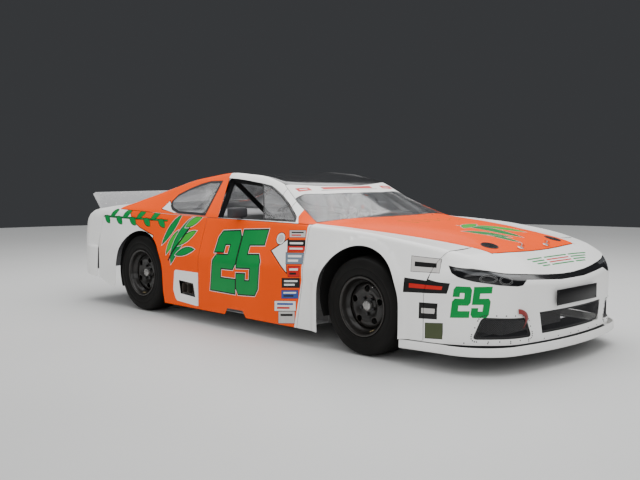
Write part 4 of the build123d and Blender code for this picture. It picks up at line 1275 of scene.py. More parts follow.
# ---- livery --------------------------------------------------------------------------------------
TWO = [(0, 0.66), (0, 0.90), (0.12, 1), (0.88, 1), (1, 0.90), (1, 0.49), (0.88, 0.39), (0.38, 0.39), (0.38, 0.22),
       (1, 0.22), (1, 0), (0, 0), (0, 0.51), (0.12, 0.61), (0.62, 0.61), (0.62, 0.79), (0.38, 0.79), (0.38, 0.66)]
FIVE = [(0, 1), (1, 1), (1, 0.78), (0.38, 0.78), (0.38, 0.62), (0.88, 0.62), (1, 0.52), (1, 0.10), (0.88, 0),
        (0.12, 0), (0, 0.10), (0, 0.32), (0.38, 0.32), (0.38, 0.21), (0.62, 0.21), (0.62, 0.42), (0, 0.42)]


def on_quad(shape, quad):
    """A shape in a unit square laid on four corners: top left, top right, bottom right, bottom left."""
    (ax, ay), (bx, by), (cx, cy), (dx, dy) = quad
    return [(dx + (cx - dx) * u + ((ax + (bx - ax) * u) - (dx + (cx - dx) * u)) * v,
             dy + (cy - dy) * u + ((ay + (by - ay) * u) - (dy + (cy - dy) * u)) * v) for u, v in shape]


def digits(quads, outlines):
    """Race-number areas: each digit, widened for its outlines, then itself. outlines is (gap, index)."""
    areas = []
    for gap, index in outlines:
        for shape, quad in zip((TWO, FIVE), quads):
            areas.append((widened(on_quad(shape, quad), gap) if gap else on_quad(shape, quad), index))
    return areas


def widened(loop, gap):
    """A straight-sided outline with every edge moved out by gap."""
    loop = [Vector(p) for p in loop]
    count = len(loop)
    turn = sum(loop[k].x * loop[(k + 1) % count].y - loop[(k + 1) % count].x * loop[k].y for k in range(count))
    gap = gap if turn < 0 else -gap
    out = []
    for k, p in enumerate(loop):
        a, b = (p - loop[k - 1]).normalized(), (loop[(k + 1) % count] - p).normalized()
        m, n = Vector((-a.y, a.x)), Vector((-b.y, b.x))
        across = m + n
        out.append(tuple(p + across * (gap / max(1 + m.dot(n), 0.3))))
    return out


def mirrored_quads(quads):
    """The same places on the other side of the car, read from there."""
    (a, b, c, d), (e, f, g, h) = quads
    return [(f, e, h, g), (b, a, d, c)]


def blob(centre, size, turn=0.0, wobble=(), steps=40):
    """A soft closed shape round a centre."""
    out = []
    for k in range(steps):
        t = 2 * math.pi * k / steps
        r = 1 + sum(a * math.cos(n * t + p) for n, a, p in wobble)
        u, v = size[0] * r * math.cos(t), size[1] * r * math.sin(t)
        out.append((centre[0] + u * math.cos(turn) - v * math.sin(turn),
                    centre[1] + u * math.sin(turn) + v * math.cos(turn)))
    return out


def leaf(start, end, bulge, steps=14):
    """A pointed leaf between two places."""
    a, b = Vector(start), Vector(end)
    along = b - a
    across = Vector((-along.y, along.x))
    upper = [a + along * t + across * bulge * math.sin(math.pi * t) ** 0.8
             for t in (k / steps for k in range(steps + 1))]
    lower = [a + along * t - across * bulge * 0.6 * math.sin(math.pi * t) ** 0.8
             for t in (1 - k / steps for k in range(1, steps))]
    return [tuple(p) for p in upper + lower]


def band(points, width):
    """A strip of even width along points."""
    points = [Vector(p) for p in points]
    left, right = [], []
    for k, p in enumerate(points):
        along = (points[min(k + 1, len(points) - 1)] - points[max(k - 1, 0)]).normalized()
        across = Vector((-along.y, along.x)) * width / 2
        left.append(tuple(p + across))
        right.append(tuple(p - across))
    return left + right[::-1]


DOOR_NUMBER = [[(-0.21, 0.786), (0.065, 0.806), (0.046, 0.305), (-0.266, 0.308)],
               [(0.083, 0.81), (0.368, 0.828), (0.32, 0.319), (0.06, 0.304)]]
SPRIG = [((-0.985, 0.640), (-0.800, 0.900), 0.14), ((-0.900, 0.560), (-0.800, 0.760), 0.17),
         ((-0.830, 0.480), (-0.640, 0.880), 0.17), ((-0.760, 0.640), (-0.545, 0.770), 0.16),
         ((-0.760, 0.560), (-0.520, 0.620), 0.15), ((-0.700, 0.800), (-0.515, 0.885), 0.18)]


def leaf_areas(leaves):
    """Areas of (start, end, bulge) leaves, each with a pale and a black edge, in two greens by turns."""
    areas = []
    for index, (start, end, bulge) in enumerate(leaves):
        shape = leaf(start, end, bulge)
        areas += [(widened(shape, 0.010), "pale"), (widened(shape, 0.006), "black"),
                  (shape, "lime" if index % 2 else "green")]
    return areas


def side_areas():
    """The sprig on a quarter as (outline in x and z, colour name), the same on both sides."""
    areas = leaf_areas(SPRIG)
    stem = band([(-0.870, 0.500), (-0.800, 0.600), (-0.720, 0.700), (-0.640, 0.800)], 0.018)
    areas.append((stem, "black"))
    return areas


PATCHES = [
    # corners (top left, top right, bottom right, bottom left), the field's colour, the bars' colours
    ([(0.612, 0.838), (0.790, 0.846), (0.800, 0.797), (0.628, 0.788)], "grey", ["black", "red"]),
    ([(0.613, 0.764), (0.806, 0.775), (0.815, 0.732), (0.625, 0.722)], "black", ["pale"]),
    ([(0.625, 0.722), (0.815, 0.732), (0.820, 0.697), (0.636, 0.684)], "red", ["pale"]),
    ([(0.622, 0.672), (0.820, 0.684), (0.826, 0.604), (0.646, 0.590)], "slate", ["pale", "pale"]),
    ([(0.676, 0.575), (0.800, 0.585), (0.806, 0.509), (0.682, 0.498)], "red", ["pale", "black"]),
    ([(0.612, 0.479), (0.808, 0.497), (0.808, 0.429), (0.612, 0.410)], "black", ["pale", "pale"]),
    ([(0.607, 0.387), (0.792, 0.406), (0.792, 0.347), (0.607, 0.327)], "blue", ["pale", "black"]),
    ([(0.527, 0.298), (0.764, 0.322), (0.764, 0.250), (0.526, 0.222)], "pale", ["blue", "red"]),
    ([(0.572, 0.222), (0.752, 0.244), (0.752, 0.155), (0.571, 0.132)], "grey", ["black", "grey"]),
]


def patch_areas(patches):
    """Blank rectangular patches with plain bars across them."""
    areas = []
    for quad, field, bars in patches:
        areas.append((widened(quad, 0.003), "black"))
        areas.append((quad, field))
        share = 1 / (2 * len(bars) + 1)
        for k, colour in enumerate(bars):
            v0 = 1 - share * (2 * k + 1)
            bar = [(0.12, v0), (0.88 - 0.16 * k, v0), (0.88 - 0.16 * k, v0 - share), (0.12, v0 - share)]
            areas.append((on_quad(bar, quad), colour))
    return areas


def patches_on(patches, side):
    """Patches as they are on the right side, or with each one's corners read from the left one."""
    return patches if side < 0 else [([b, a, d, c], field, bars) for (a, b, c, d), field, bars in patches]


PALETTE = ["orange", "white", "green", *DECALS]


def palette():
    """Every livery finish in the order of PALETTE, with the sheet metal behind the panels last."""
    return [orange_paint(), white_paint(), decal("green", paints().green), *map(decal, DECALS), sheet_metal()]


def livery(areas, lay, base):
    """Finishes and painted areas for a panel whose own colour is base."""
    finishes = palette()
    first = PALETTE.index(base)
    order = [first] + [k for k in range(len(PALETTE)) if k != first]
    finishes = [finishes[k] for k in order] + [finishes[-1]]
    names = [PALETTE[k] for k in order]
    return finishes, [(lay(loop), names.index(colour)) for loop, colour in areas]


# ---- settings ------------------------------------------------------------------------------------
class StockCarPaint(bpy.types.PropertyGroup):
    """Livery colours."""
    orange: FloatVectorProperty(name="Body Orange", description="Main colour of the doors, hood and rear pillars",
                                subtype="COLOR", size=3, min=0, max=1, default=(0.90, 0.080, 0.0))
    white: FloatVectorProperty(name="Nose White", description="Second colour, on the nose, fenders and tail",
                               subtype="COLOR", size=3, min=0, max=1, default=(0.87, 0.865, 0.845))
    green: FloatVectorProperty(name="Number Green", description="Colour of the race number",
                               subtype="COLOR", size=3, min=0, max=1, default=(0.002, 0.235, 0.050))


class StockCarPanels(bpy.types.PropertyGroup):
    """Sizes shared by all body panels."""
    thickness: FloatProperty(name="Sheet Thickness", description="Thickness of the body panels", unit="LENGTH",
                             min=0.001, max=0.009, default=0.003)
    grid_step: FloatProperty(name="Grid Step", description="Distance between a panel's grid points",
                             unit="LENGTH", min=0.01, max=0.08, default=0.03)
    edge_softness: FloatProperty(name="Edge Softness", description="How far a panel's rim rolls inwards",
                                 unit="LENGTH", min=0.0, max=0.004, default=0.0015)
    glass_thickness: FloatProperty(name="Window Thickness", description="Thickness of the clear sheets",
                                   unit="LENGTH", min=0.001, max=0.009, default=0.004)


class StockCarWheels(bpy.types.PropertyGroup):
    """Wheel and tyre sizes."""
    tyre_radius: FloatProperty(name="Tyre Radius", description="Outer radius of the tyres", unit="LENGTH",
                               min=0.2, max=0.5, default=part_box("tyre_front_left")[1][2] / 2)
    tyre_width: FloatProperty(name="Tyre Width", description="Width of the tyres across their sidewalls",
                              unit="LENGTH", min=0.1, max=0.5,
                              default=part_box("tyre_front_left")[1][1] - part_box("tyre_front_left")[0][1])
    wheel_nuts: IntProperty(name="Wheel Nuts", description="Number of nuts on each wheel", min=3, max=8, default=5)


class StockCarTrim(bpy.types.PropertyGroup):
    """Screens, fasteners and small fittings."""
    wire_pitch: FloatProperty(name="Screen Pitch", description="Distance between the wires of the nose screens",
                              unit="LENGTH", min=0.004, max=0.03, default=0.0085)
    wire_radius: FloatProperty(name="Screen Wire Radius", description="Radius of the screen wires",
                               unit="LENGTH", min=0.0003, max=0.003, default=0.0009)


class StockCarStage(bpy.types.PropertyGroup):
    """Floor, light and camera."""
    lens: FloatProperty(name="Lens", description="Focal length of the camera", unit="CAMERA", min=10, max=200,
                        default=49.05)
    floor_colour: FloatVectorProperty(name="Floor Colour", description="Colour of the floor",
                                      subtype="COLOR", size=3, min=0, max=1, default=(0.62, 0.62, 0.61))


# ---- stage ---------------------------------------------------------------------------------------
class STOCKCAR_OT_stage(bpy.types.Operator):
    """Make the floor, the soft light and the camera"""
    bl_idname = "stockcar.stage"
    bl_label = "Stage"

    def execute(self, context):
        settings = context.scene.stock_car_stage
        floor = finish_of("studio_floor", settings.floor_colour, rough=0.55, dust=0.0, vary=0.02, vary_scale=0.6,
                          fine=60.0, wave=1.5, relief=0.0004, strength=0.1, scuffs=0.03)
        mesh = bmesh.new()
        count = 96
        rings = [[mesh.verts.new((r * math.cos(2 * math.pi * k / count), r * math.sin(2 * math.pi * k / count), 0))
                  for k in range(count)] for r in (6.0, 13.0)]
        mesh.faces.new(rings[0])
        for k in range(count):
            mesh.faces.new((rings[0][k], rings[1][k], rings[1][(k + 1) % count], rings[0][(k + 1) % count]))
        bmesh.ops.recalc_face_normals(mesh, faces=mesh.faces)
        for face in mesh.faces:
            if face.normal.z < 0:
                face.normal_flip()
        sweep = from_bmesh(mesh, "studio_floor", [floor])
        sweep.data.polygons.foreach_set("use_smooth", [True] * len(sweep.data.polygons))

        world = bpy.data.worlds.new("studio_air")
        world.use_nodes = True
        context.scene.world = world
        tree = world.node_tree
        background = tree.nodes["Background"]
        path = node(tree, "ShaderNodeLightPath")
        seen = maths(tree, "MAXIMUM", path.outputs["Is Camera Ray"], path.outputs["Is Transmission Ray"])
        seen = maths(tree, "MAXIMUM", seen, path.outputs["Is Glossy Ray"])
        tree.links.new(mix(tree, seen, (0.62, 0.63, 0.64, 1), (0.044, 0.046, 0.049, 1)),
                       background.inputs["Color"])
        background.inputs["Strength"].default_value = 1.0

        def soft_light(name, size_x, size_y, power, location, target, colour=(1, 1, 1)):
            data = bpy.data.lights.new(name, "AREA")
            data.shape, data.size, data.size_y = "RECTANGLE", size_x, size_y
            data.energy, data.color = power, colour
            linked(name, data).matrix_world = Matrix.Translation(location) @ (
                Vector(location) - Vector(target)).to_track_quat("Z", "Y").to_matrix().to_4x4()
        soft_light("ceiling_light", 10.0, 8.0, 620.0, (-0.5, 1.5, 4.6), (-0.5, 1.5, 0))
        soft_light("front_light", 7.0, 4.0, 150.0, (6.5, -4.5, 3.4), (0.5, 0, 0.6))
        soft_light("side_light", 7.0, 3.0, 50.0, (-2.5, -6.5, 2.8), (-0.8, 0, 0.6))

        yaw, pitch, roll = math.radians(45.362), math.radians(4.8465), math.radians(-0.0525)
        ahead = Vector((-math.sin(yaw) * math.cos(pitch), math.cos(yaw) * math.cos(pitch), -math.sin(pitch)))
        right = ahead.cross(Vector((0, 0, 1))).normalized()
        up = right.cross(ahead)
        right, up = (right * math.cos(roll) + up * math.sin(roll), up * math.cos(roll) - right * math.sin(roll))
        matrix = Matrix((right, up, -ahead)).transposed().to_4x4()
        matrix.translation = (5.45794, -5.34107, 1.32254)
        data = bpy.data.cameras.new("front_quarter_camera")
        data.lens, data.sensor_width, data.clip_end = settings.lens, 36.0, 100.0
        camera = linked("front_quarter_camera", data)
        camera.matrix_world = matrix
        context.scene.camera = camera
        return {"FINISHED"}


# ---- body ----------------------------------------------------------------------------------------
# the hood's left side in plan: the middles of its round vent and its pin
VENT_X, VENT_Y, PIN_X, PIN_Y = 2.089, 0.405, 2.179, 0.163


class STOCKCAR_OT_hood(bpy.types.Operator):
    """Make the hood with its round vents, drawn as painted shade under wire mesh, its pins and lanyards"""
    bl_idname = "stockcar.hood"
    bl_label = "Hood"

    def execute(self, context):
        outline = plan_loop(lid_outline(HOOD_SIDE, HOOD_CENTRE_REAR, HOOD_CENTRE_FRONT))
        # the round vents are not cut: a black disc painted on the hood stands in for the shade inside each opening,
        # under a rim and a wire mesh
        areas = [(plan_loop(blob((VENT_X, sign * VENT_Y), (0.056, 0.056))), "black") for sign in (-1, 1)]
        sprig = [((1.60, -0.10), (2.02, 0.10), 0.16), ((1.66, 0.02), (1.92, 0.30), 0.17),
                 ((1.78, -0.28), (2.00, -0.02), 0.15), ((1.70, -0.16), (1.60, 0.12), 0.18),
                 ((1.92, -0.16), (2.10, -0.06), 0.16)]
        flat = leaf_areas(sprig)
        for k in range(5):
            for trim, width, colour in ((0, 0.05, "green"), (0.01, 0.038, "orange")):
                flat.append((band([(1.20 + trim + 0.02 * k, -0.30 + 0.13 * k),
                                   (1.36 - trim, -0.27 + 0.13 * k)], width), colour))
        finishes, paint = livery(areas + [(plan_loop(loop), colour) for loop, colour in flat],
                                 lambda loop: loop, "orange")
        hood = make_panel("hood_panel", BODY_FORM, outline, finishes, paint=paint)
        steel, black = bright_fastener(), black_plastic()
        parts = [hood]
        for sign in (-1, 1):
            ring = on_body(plan_loop(blob((VENT_X, sign * VENT_Y), (0.058, 0.058), steps=32), 0.02), 0.0005)
            parts.append(pipe("vent_rim", ring[0], 0.0032, black, 8, 0.01, closed=True))
            runs = []
            for k in range(-5, 6):
                off = 0.0098 * k
                reach = math.sqrt(max(0.0, 0.055**2 - off**2))
                for along in (True, False):
                    line = [(VENT_X + (off if along else t), sign * VENT_Y + (t if along else off))
                            for t in np.linspace(-reach, reach, 7)]
                    runs.append(on_body(from_plan(line), 0.0012)[0])
            parts.append(wires("vent_mesh", runs, dark_fastener(), 0.0011, 5))
            (at,), (up,) = on_body(from_plan([(PIN_X, sign * PIN_Y)]), 0.0)
            at, up = Vector(at), Vector(up)
            stand = Matrix.Translation(at) @ up.to_track_quat("Z", "Y").to_matrix().to_4x4()
            scuff = revolve("pin_plate", [(0, 0.0022), (0.020, 0.0022), (0.023, 0.0004), (0.023, -0.001), (0, -0.001)],
                            [steel], 28, closed=False)
            post = revolve("pin_post", [(0, 0.030), (0.0035, 0.029), (0.0048, 0.026), (0.0048, 0.001), (0, 0.001)],
                           [steel], 16, closed=False)
            for part in (scuff, post):
                parts.append(shift(part, stand @ Matrix.Rotation(math.pi / 2, 4, "X")))
            clip = [(0, 0.022, 0.018), (0, -0.014, 0.018), (0, -0.020, 0.024), (0, -0.014, 0.029), (0, 0.018, 0.025)]
            parts.append(pipe("pin_clip", [stand @ Vector(p) for p in clip], 0.0014, black, 8, 0.006))
            cord = [(0, -0.019, 0.024), (-0.020, -0.034, 0.010), (-0.046, -0.030, 0.004), (-0.060, -0.012, 0.002)]
            parts.append(pipe("pin_lanyard", [stand @ Vector(p) for p in cord], 0.0013, black, 8, 0.02))
        rear = [(0.915, y) for y in (-0.42, -0.30, -0.10, 0.10, 0.30, 0.42)]
        rear = [(x + 0.055 * (1 - (y / 0.8) ** 2), y) for x, y in rear]
        at, up = on_body(from_plan(rear), 0.0002)
        parts.append(fasteners("hood_quarter_turns", at, up, dark_fastener(), 0.0085, 0.0022))
        place(join(parts, "hood_with_pins"), "hood", "paint_orange", "hood")
        return {"FINISHED"}


class STOCKCAR_OT_roof(bpy.types.Operator):
    """Make the roof with its pillars and their colours"""
    bl_idname = "stockcar.roof"
    bl_label = "Roof and Pillars"

    def execute(self, context):
        belt = from_side(dense_path(BELT_CUT + (0, SEAM / 2), 0.03), 1)
        rear = grow_side(REAR_GLASS_SIDE, SEAM)[::-1]
        rear[0][0] = -1.790
        front = grow_side(GLASS_SIDE, SEAM)
        front_edge = bow((GLASS_SIDE[0][0] - SEAM, front[0][1]), GLASS_CENTRE_REAR - SEAM, 24)
        rear_edge = bow((rear[-1][0] + SEAM, rear[-1][1]), REAR_GLASS_CENTRE + SEAM, 24)
        end = np.vstack([front, [(0.822, 0.786)]])
        outline = np.vstack([
            belt, from_plan(dense_path(rear, 0.02)), from_plan(rear_edge[1:-1]),
            from_plan(dense_path(rear, 0.02) * (1, -1))[::-1], belt[::-1] * (1, -1),
            from_plan(dense_path(end[::-1] * (1, -1), 0.02)), from_plan(front_edge[::-1][1:-1]),
            from_plan(dense_path(end, 0.02))])
        holes = [side_loop(window, side, 0.012) for side in (1, -1) for window in (DOOR_WINDOW, QUARTER_WINDOW)]
        areas = []
        wide = 3.3
        for side in (1, -1):
            rail = [(x, side * 1.93) for x in np.linspace(0.9, -0.465, 30)]
            rail += [(-0.470, side * wide), (0.9, side * wide)]
            areas.append((np.array(rail), "white"))
            areas.append((np.array([(0.56, side * 1.0), (0.60, side * 2.0), (0.62, side * 2.5), (0.74, side * wide),
                                    (0.9, side * wide), (0.9, side * 1.0)]), "orange"))
            back = [(x, side * 1.93) for x in np.linspace(-0.470, -0.95, 16)]
            back += [(-1.1, side * 0.9), (-1.9, side * 0.9), (-1.9, side * wide), (-0.285, side * wide),
                     (-0.300, side * 3.0), (-0.452, side * 2.12)]
            areas.append((np.array(back), "orange"))
            flag = [(-1.098, 1.008), (-1.135, 0.941), (-0.900, 0.908)]
            for gap, colour in ((0.006, "black"), (0.0, "white")):
                areas.append((side_loop(widened(flag, gap), side, 0.02), colour))
            for x in (0.30, 0.46):
                areas.append((np.array([(x, side * 1.7), (x + 0.004, side * 1.7), (x + 0.05, side * wide),
                                        (x + 0.046, side * wide)]), "black"))
        finishes, paint = livery(areas, lambda loop: loop, "black")
        finishes[0] = black_paint()
        roof = make_panel("roof_panel", BODY_FORM, outline, finishes, holes=holes, paint=paint)
        place(roof, "body", "roof_black", "roof_and_pillars")
        return {"FINISHED"}


class STOCKCAR_OT_glass(bpy.types.Operator):
    """Make the windshield with its sun strip, the rear window and the side windows"""
    bl_idname = "stockcar.glass"
    bl_label = "Windows"

    def execute(self, context):
        thick = context.scene.stock_car_panels.glass_thickness
        glass, side = windscreen_glass(), side_glass()
        outline = plan_loop(lid_outline(GLASS_SIDE, GLASS_CENTRE_REAR, GLASS_CENTRE_FRONT))
        strip_edge = [(0.440, -0.662), (0.432, -0.55), (0.472, -0.35), (0.492, 0.0), (0.472, 0.35), (0.432, 0.55),
                      (0.440, 0.662)]
        strip = [(0.1, -0.8)] + strip_edge + [(0.1, 0.8)]
        finishes = [glass, decal("banner", (0.80, 0.79, 0.77)), decal("red"), decal("black"), glass]
        areas = [(plan_loop(strip), 1)]
        for y0, y1, near, far, index in ((-0.30, 0.30, 0.020, 0.062, 2), (-0.34, 0.34, 0.074, 0.081, 3),
                                         (-0.57, -0.43, 0.020, 0.070, 2), (0.43, 0.57, 0.020, 0.070, 2),
                                         (-0.54, -0.46, 0.038, 0.050, 1), (0.46, 0.54, 0.038, 0.050, 1)):
            ys = np.linspace(y0, y1, 9)
            top = [(0.345 - 0.06 * abs(y) ** 1.5 + near, y) for y in ys]
            low = [(0.345 - 0.06 * abs(y) ** 1.5 + far, y) for y in ys[::-1]]
            areas.append((plan_loop(top + low), index))
        shield = make_panel("windshield_sheet", BODY_FORM, outline, finishes, paint=areas, thickness=thick,
                            edge=4, step=0.04)
        place(shield, "body", "glazing", "windshield")
        outline = plan_loop(lid_outline(REAR_GLASS_SIDE, REAR_GLASS_CENTRE, -1.790))
        place(make_panel("rear_window_sheet", BODY_FORM, outline, [side, side], thickness=thick, step=0.04),
              "body", "glazing", "rear_window")
        panes, frames = [], []
        trim = dark_trim()
        for sign in (1, -1):
            for name, window, gap in (("quarter", QUARTER_WINDOW, 0.004), ("vent", VENT_WINDOW, 0.0)):
                loop = widened(window, -gap) if gap else window
                pane = make_panel(f"{name}_pane_{'left' if sign > 0 else 'right'}", BODY_FORM,
                                  side_loop(loop, sign, step=0.012), [side, side], thickness=thick,
                                  step=0.03, drop=0.0005)
                panes.append(pane)
                border = widened(window, -0.022 if name == "quarter" else -0.012)
                outer = widened(window, -0.003)
                frames.append(make_panel(f"{name}_seal", BODY_FORM, side_loop(outer, sign, step=0.012),
                                         [trim, trim], holes=[side_loop(border, sign, step=0.012)],
                                         thickness=0.004, step=0.02, lift=0.002, drop=0.001))
        place(join(panes, "side_panes"), "body", "glazing", "side_windows")
        place(join(frames, "window_seals"), "body", "black_plastic")
        return {"FINISHED"}


FENDER_PATCHES = [
    ([(1.811, 0.731), (2.020, 0.722), (2.042, 0.640), (1.835, 0.636)], "grey", ["black"]),
    ([(1.800, 0.590), (2.122, 0.576), (2.105, 0.513), (1.803, 0.500)], "black", ["red"]),
    ([(1.919, 0.438), (2.045, 0.441), (2.042, 0.343), (1.917, 0.337)], "black", ["grey"]),
    ([(1.965, 0.309), (2.082, 0.317), (2.080, 0.217), (1.964, 0.211)], "olive", ["olive"]),
]


class STOCKCAR_OT_fenders(bpy.types.Operator):
    """Make the two front fenders with their flared arches"""
    bl_idname = "stockcar.fenders"
    bl_label = "Front Fenders"

    def execute(self, context):
        seam = SEAM / 2
        hood_side = grow_side(HOOD_SIDE, LID_GAP)
        for side, name in ((1, "left"), (-1, "right")):
            xs = [0.824] + [x for x, _ in hood_side if 0.84 < x < 2.03] + [2.044]
            inner = np.stack([xs, np.interp(xs, hood_side[:, 0], hood_side[:, 1])], 1)
            inner = from_plan(dense_path(inner, 0.02) * (1, side))
            line = FASCIA - (seam, 0)
            front = from_side(dense_path(line[(line[:, 1] > 0.15)], 0.02), side)
            foot = from_side(sill_line(1.932, 1.785, 0.003), side)
            arch = from_side(arch_line(FRONT_ARCH, FRONT_FEET), side)
            rear_foot = from_side(sill_line(0.975, 0.779, 0.003), side)
            door = DOOR_FRONT + (seam, 0)
            door = np.array([(np.interp(0.125, door[::-1, 1], door[::-1, 0]), 0.125), (door[1][0], door[1][1]),
                             (door[0][0], 0.886)])
            door = from_side(dense_path(door, 0.02), side)
            top = from_plan(dense_path(np.array([(0.824, 0.84), (0.824, 0.80)]), 0.02) * (1, side))
            outline = np.vstack([inner, front, foot, arch, rear_foot, door, top])
            areas = [(side_loop(loop, side, 0.02), colour)
                     for loop, colour in patch_areas(patches_on(FENDER_PATCHES, side))]
            finishes, paint = livery(areas, lambda loop: loop, "white")
            wing = make_panel(f"fender_{name}_panel", BODY_FORM, outline, finishes, paint=paint)
            place(wing, "body", "paint_white", f"fender_{name}")
        return {"FINISHED"}


class STOCKCAR_OT_doors(bpy.types.Operator):
    """Make the door panels with the race number and the blank patches"""
    bl_idname = "stockcar.doors"
    bl_label = "Doors"

    def execute(self, context):
        seam = SEAM / 2
        for side, name in ((1, "left"), (-1, "right")):
            top = from_side(dense_path([(DOOR_REAR_X + seam, 0.8905), (0.820, 0.8885)], 0.02), side)
            line = DOOR_FRONT - (seam, 0)
            front = from_side(dense_path([(line[0][0], 0.880), tuple(line[1]),
                                          (np.interp(0.125, line[::-1, 1], line[::-1, 0]), 0.125)], 0.02), side)
            foot = from_side(np.vstack([sill_line(0.768, 0.182, 0.003), JACK_NOTCH[::-1] + (0, 0.006),
                                        sill_line(-0.086, DOOR_REAR_X + seam, 0.003)]), side)
            rear = from_side(dense_path([(DOOR_REAR_X + seam, 0.13), (DOOR_REAR_X + seam, 0.885)], 0.02), side)
            outline = np.vstack([top, front, foot, rear])
            number = DOOR_NUMBER if side < 0 else mirrored_quads(DOOR_NUMBER)
            areas = [([(0.845, 0.89), (0.800, 0.89), (0.830, 0.487), (0.745, 0.12), (0.78, 0.12), (0.86, 0.487)],
                      "white"),
                     (widened([(0.458, 0.676), (0.615, 0.768), (0.660, 0.530)], 0.009), "black"),
                     ([(0.458, 0.676), (0.615, 0.768), (0.660, 0.530)], "white"),
                     (blob((0.532, 0.772), (0.052, 0.048)), "black"),
                     (blob((0.532, 0.772), (0.046, 0.042)), "pale"),
                     (blob((0.532, 0.772), (0.034, 0.030)), "grey")]
            areas += digits(number, [(0.014, "pale"), (0.010, "black"), (0, "green")])
            areas += patch_areas(patches_on(PATCHES, side))
            finishes, paint = livery(areas, lambda loop: side_loop(loop, side, 0.02), "orange")
            door = make_panel(f"door_{name}_panel", BODY_FORM, outline, finishes, paint=paint)
            place(door, "body", "paint_orange", f"door_panel_{name}")
        return {"FINISHED"}


# (x, z) of the white area at the back of a quarter, and of the garland's stem
REAR_WHITE = [(-1.659, 0.985), (-1.604, 0.931), (-1.566, 0.869), (-1.516, 0.814), (-1.375, 0.757), (-1.245, 0.724),
              (-1.150, 0.700), (-1.150, 0.05), (-2.3, 0.05), (-2.3, 0.985)]
STEM_HEIGHT = 0.842
STEM = [(-2.035, STEM_HEIGHT), (-0.985, STEM_HEIGHT)]


class STOCKCAR_OT_quarters(bpy.types.Operator):
    """Make the rear quarter panels with their leaf motif and the surround of the exhaust"""
    bl_idname = "stockcar.quarters"
    bl_label = "Rear Quarters"

    def execute(self, context):
        seam = SEAM / 2
        for side, name in ((1, "left"), (-1, "right")):
            belt = BELT_CUT - (0, seam)
            belt = [(DOOR_REAR_X - seam, 0.891)] + [tuple(p) for p in belt[2:]]
            rear = from_side(dense_path(belt, 0.02), side)
            inner = [(-1.7905, 0.80), (-1.7905, 0.743), (-2.058, 0.757)]
            inner = from_plan(dense_path(inner, 0.02) * (1, side))
            down = from_side(dense_path([(-2.058, 0.932), (-2.058, 0.254)], 0.02), side)
            foot = from_side(sill_line(-2.05, -1.785, 0.003), side)
            arch = from_side(arch_line(REAR_ARCH, REAR_FEET)[::-1], side)
            ahead = from_side(sill_line(-0.915, DOOR_REAR_X - seam, 0.003), side)
            up = from_side(dense_path([(DOOR_REAR_X - seam, 0.13), (DOOR_REAR_X - seam, 0.882)], 0.02), side)
            outline = np.vstack([rear, inner, down, foot, arch, ahead, up])
            hole_loop = side_loop(EXHAUST_HOLE, side)
            ring = [(-0.762, 0.430), (-0.440, 0.430), (-0.420, 0.410), (-0.401, 0.250), (-0.433, 0.151),
                    (-0.460, 0.146), (-0.742, 0.163), (-0.765, 0.180), (-0.799, 0.254), (-0.780, 0.415)]
            areas = [(widened(REAR_WHITE, 0.007), "black"), (REAR_WHITE, "white"), (ring, "white")]
            garland = [(widened(band(STEM, 0.012), 0.004), "black"), (band(STEM, 0.012), "green")]
            for k in range(9):
                x, lean = -2.020 + 0.112 * k, 0.062 if k % 2 else -0.060
                shape = leaf((x, STEM_HEIGHT), (x + 0.118, STEM_HEIGHT + lean), 0.27)
                garland += [(widened(shape, 0.005), "black"), (shape, "green")]
            areas += garland + side_areas()
            finishes, paint = livery(areas, lambda loop: side_loop(loop, side, 0.02), "orange")
            panel = make_panel(f"quarter_{name}_panel", BODY_FORM, outline, finishes, holes=[hole_loop], paint=paint,
                               centre=1.2)
            place(panel, "body", "paint_orange", f"quarter_panel_{name}")
        return {"FINISHED"}


NOSE_NUMBER = [[(1.017, 0.563), (0.900, 0.562), (0.920, 0.363), (1.042, 0.358)],
               [(0.890, 0.562), (0.773, 0.565), (0.798, 0.365), (0.914, 0.363)]]
# (place along the nose, height up it)
LAMP_TOP = [(1.072, 0.660), (0.906, 0.667), (0.745, 0.656), (0.466, 0.635), (0.277, 0.619), (0.082, 0.609)]
LAMP_FOOT = [(1.040, 0.630), (0.899, 0.595), (0.724, 0.570), (0.602, 0.560), (0.560, 0.563), (0.505, 0.590),
             (0.148, 0.567)]
MOUTH = [(0.400, 0.378), (-0.400, 0.378), (-0.372, 0.236), (0.372, 0.236)]
CORNER_OPENING = [(0.840, 0.367), (0.525, 0.355), (0.474, 0.226), (0.900, 0.224)]
NOSE_OPENINGS = [MOUTH, eased(CORNER_OPENING, 0.03), eased([(-a, q) for a, q in CORNER_OPENING], 0.03)]
LAMP_BAND = [*LAMP_TOP, *[(-a, q) for a, q in LAMP_TOP[::-1]], *[(-a, q) for a, q in LAMP_FOOT], *LAMP_FOOT[::-1]]


def laid(points, step=0.012):
    """A closed outline with more points along it."""
    return dense_path(points, step, closed=True)


def nose_outline():
    """The nose cover's outline, (a, q)."""
    line = FASCIA + (SEAM / 2, 0)
    line = line[line[:, 1] > 0.16]
    line = np.vstack([line, [(1.936, 0.186)]])
    hood_side = grow_side(HOOD_SIDE, LID_GAP)
    xs = np.array([2.048, 2.10, 2.15, 2.195])
    inner = np.stack([xs, np.interp(xs, hood_side[:, 0], hood_side[:, 1])], 1)
    front_edge = bow((2.195, inner[-1][1]), HOOD_CENTRE_FRONT + LID_GAP, 24)
    half = [end_from_side(NOSE_PLAN, dense_path(line[::-1], 0.02), 1),
            end_from_plan(NOSE_PLAN, dense_path(inner, 0.02)),
            end_from_plan(NOSE_PLAN, np.array(front_edge[1:-1]))]
    right = np.vstack(half[:2])[::-1] * (-1, 1)
    low = np.linspace(right[-1][0], half[0][0][0], 90)[1:-1]
    return np.vstack(half + [right, np.stack([low, np.full(len(low), 0.186)], 1)])


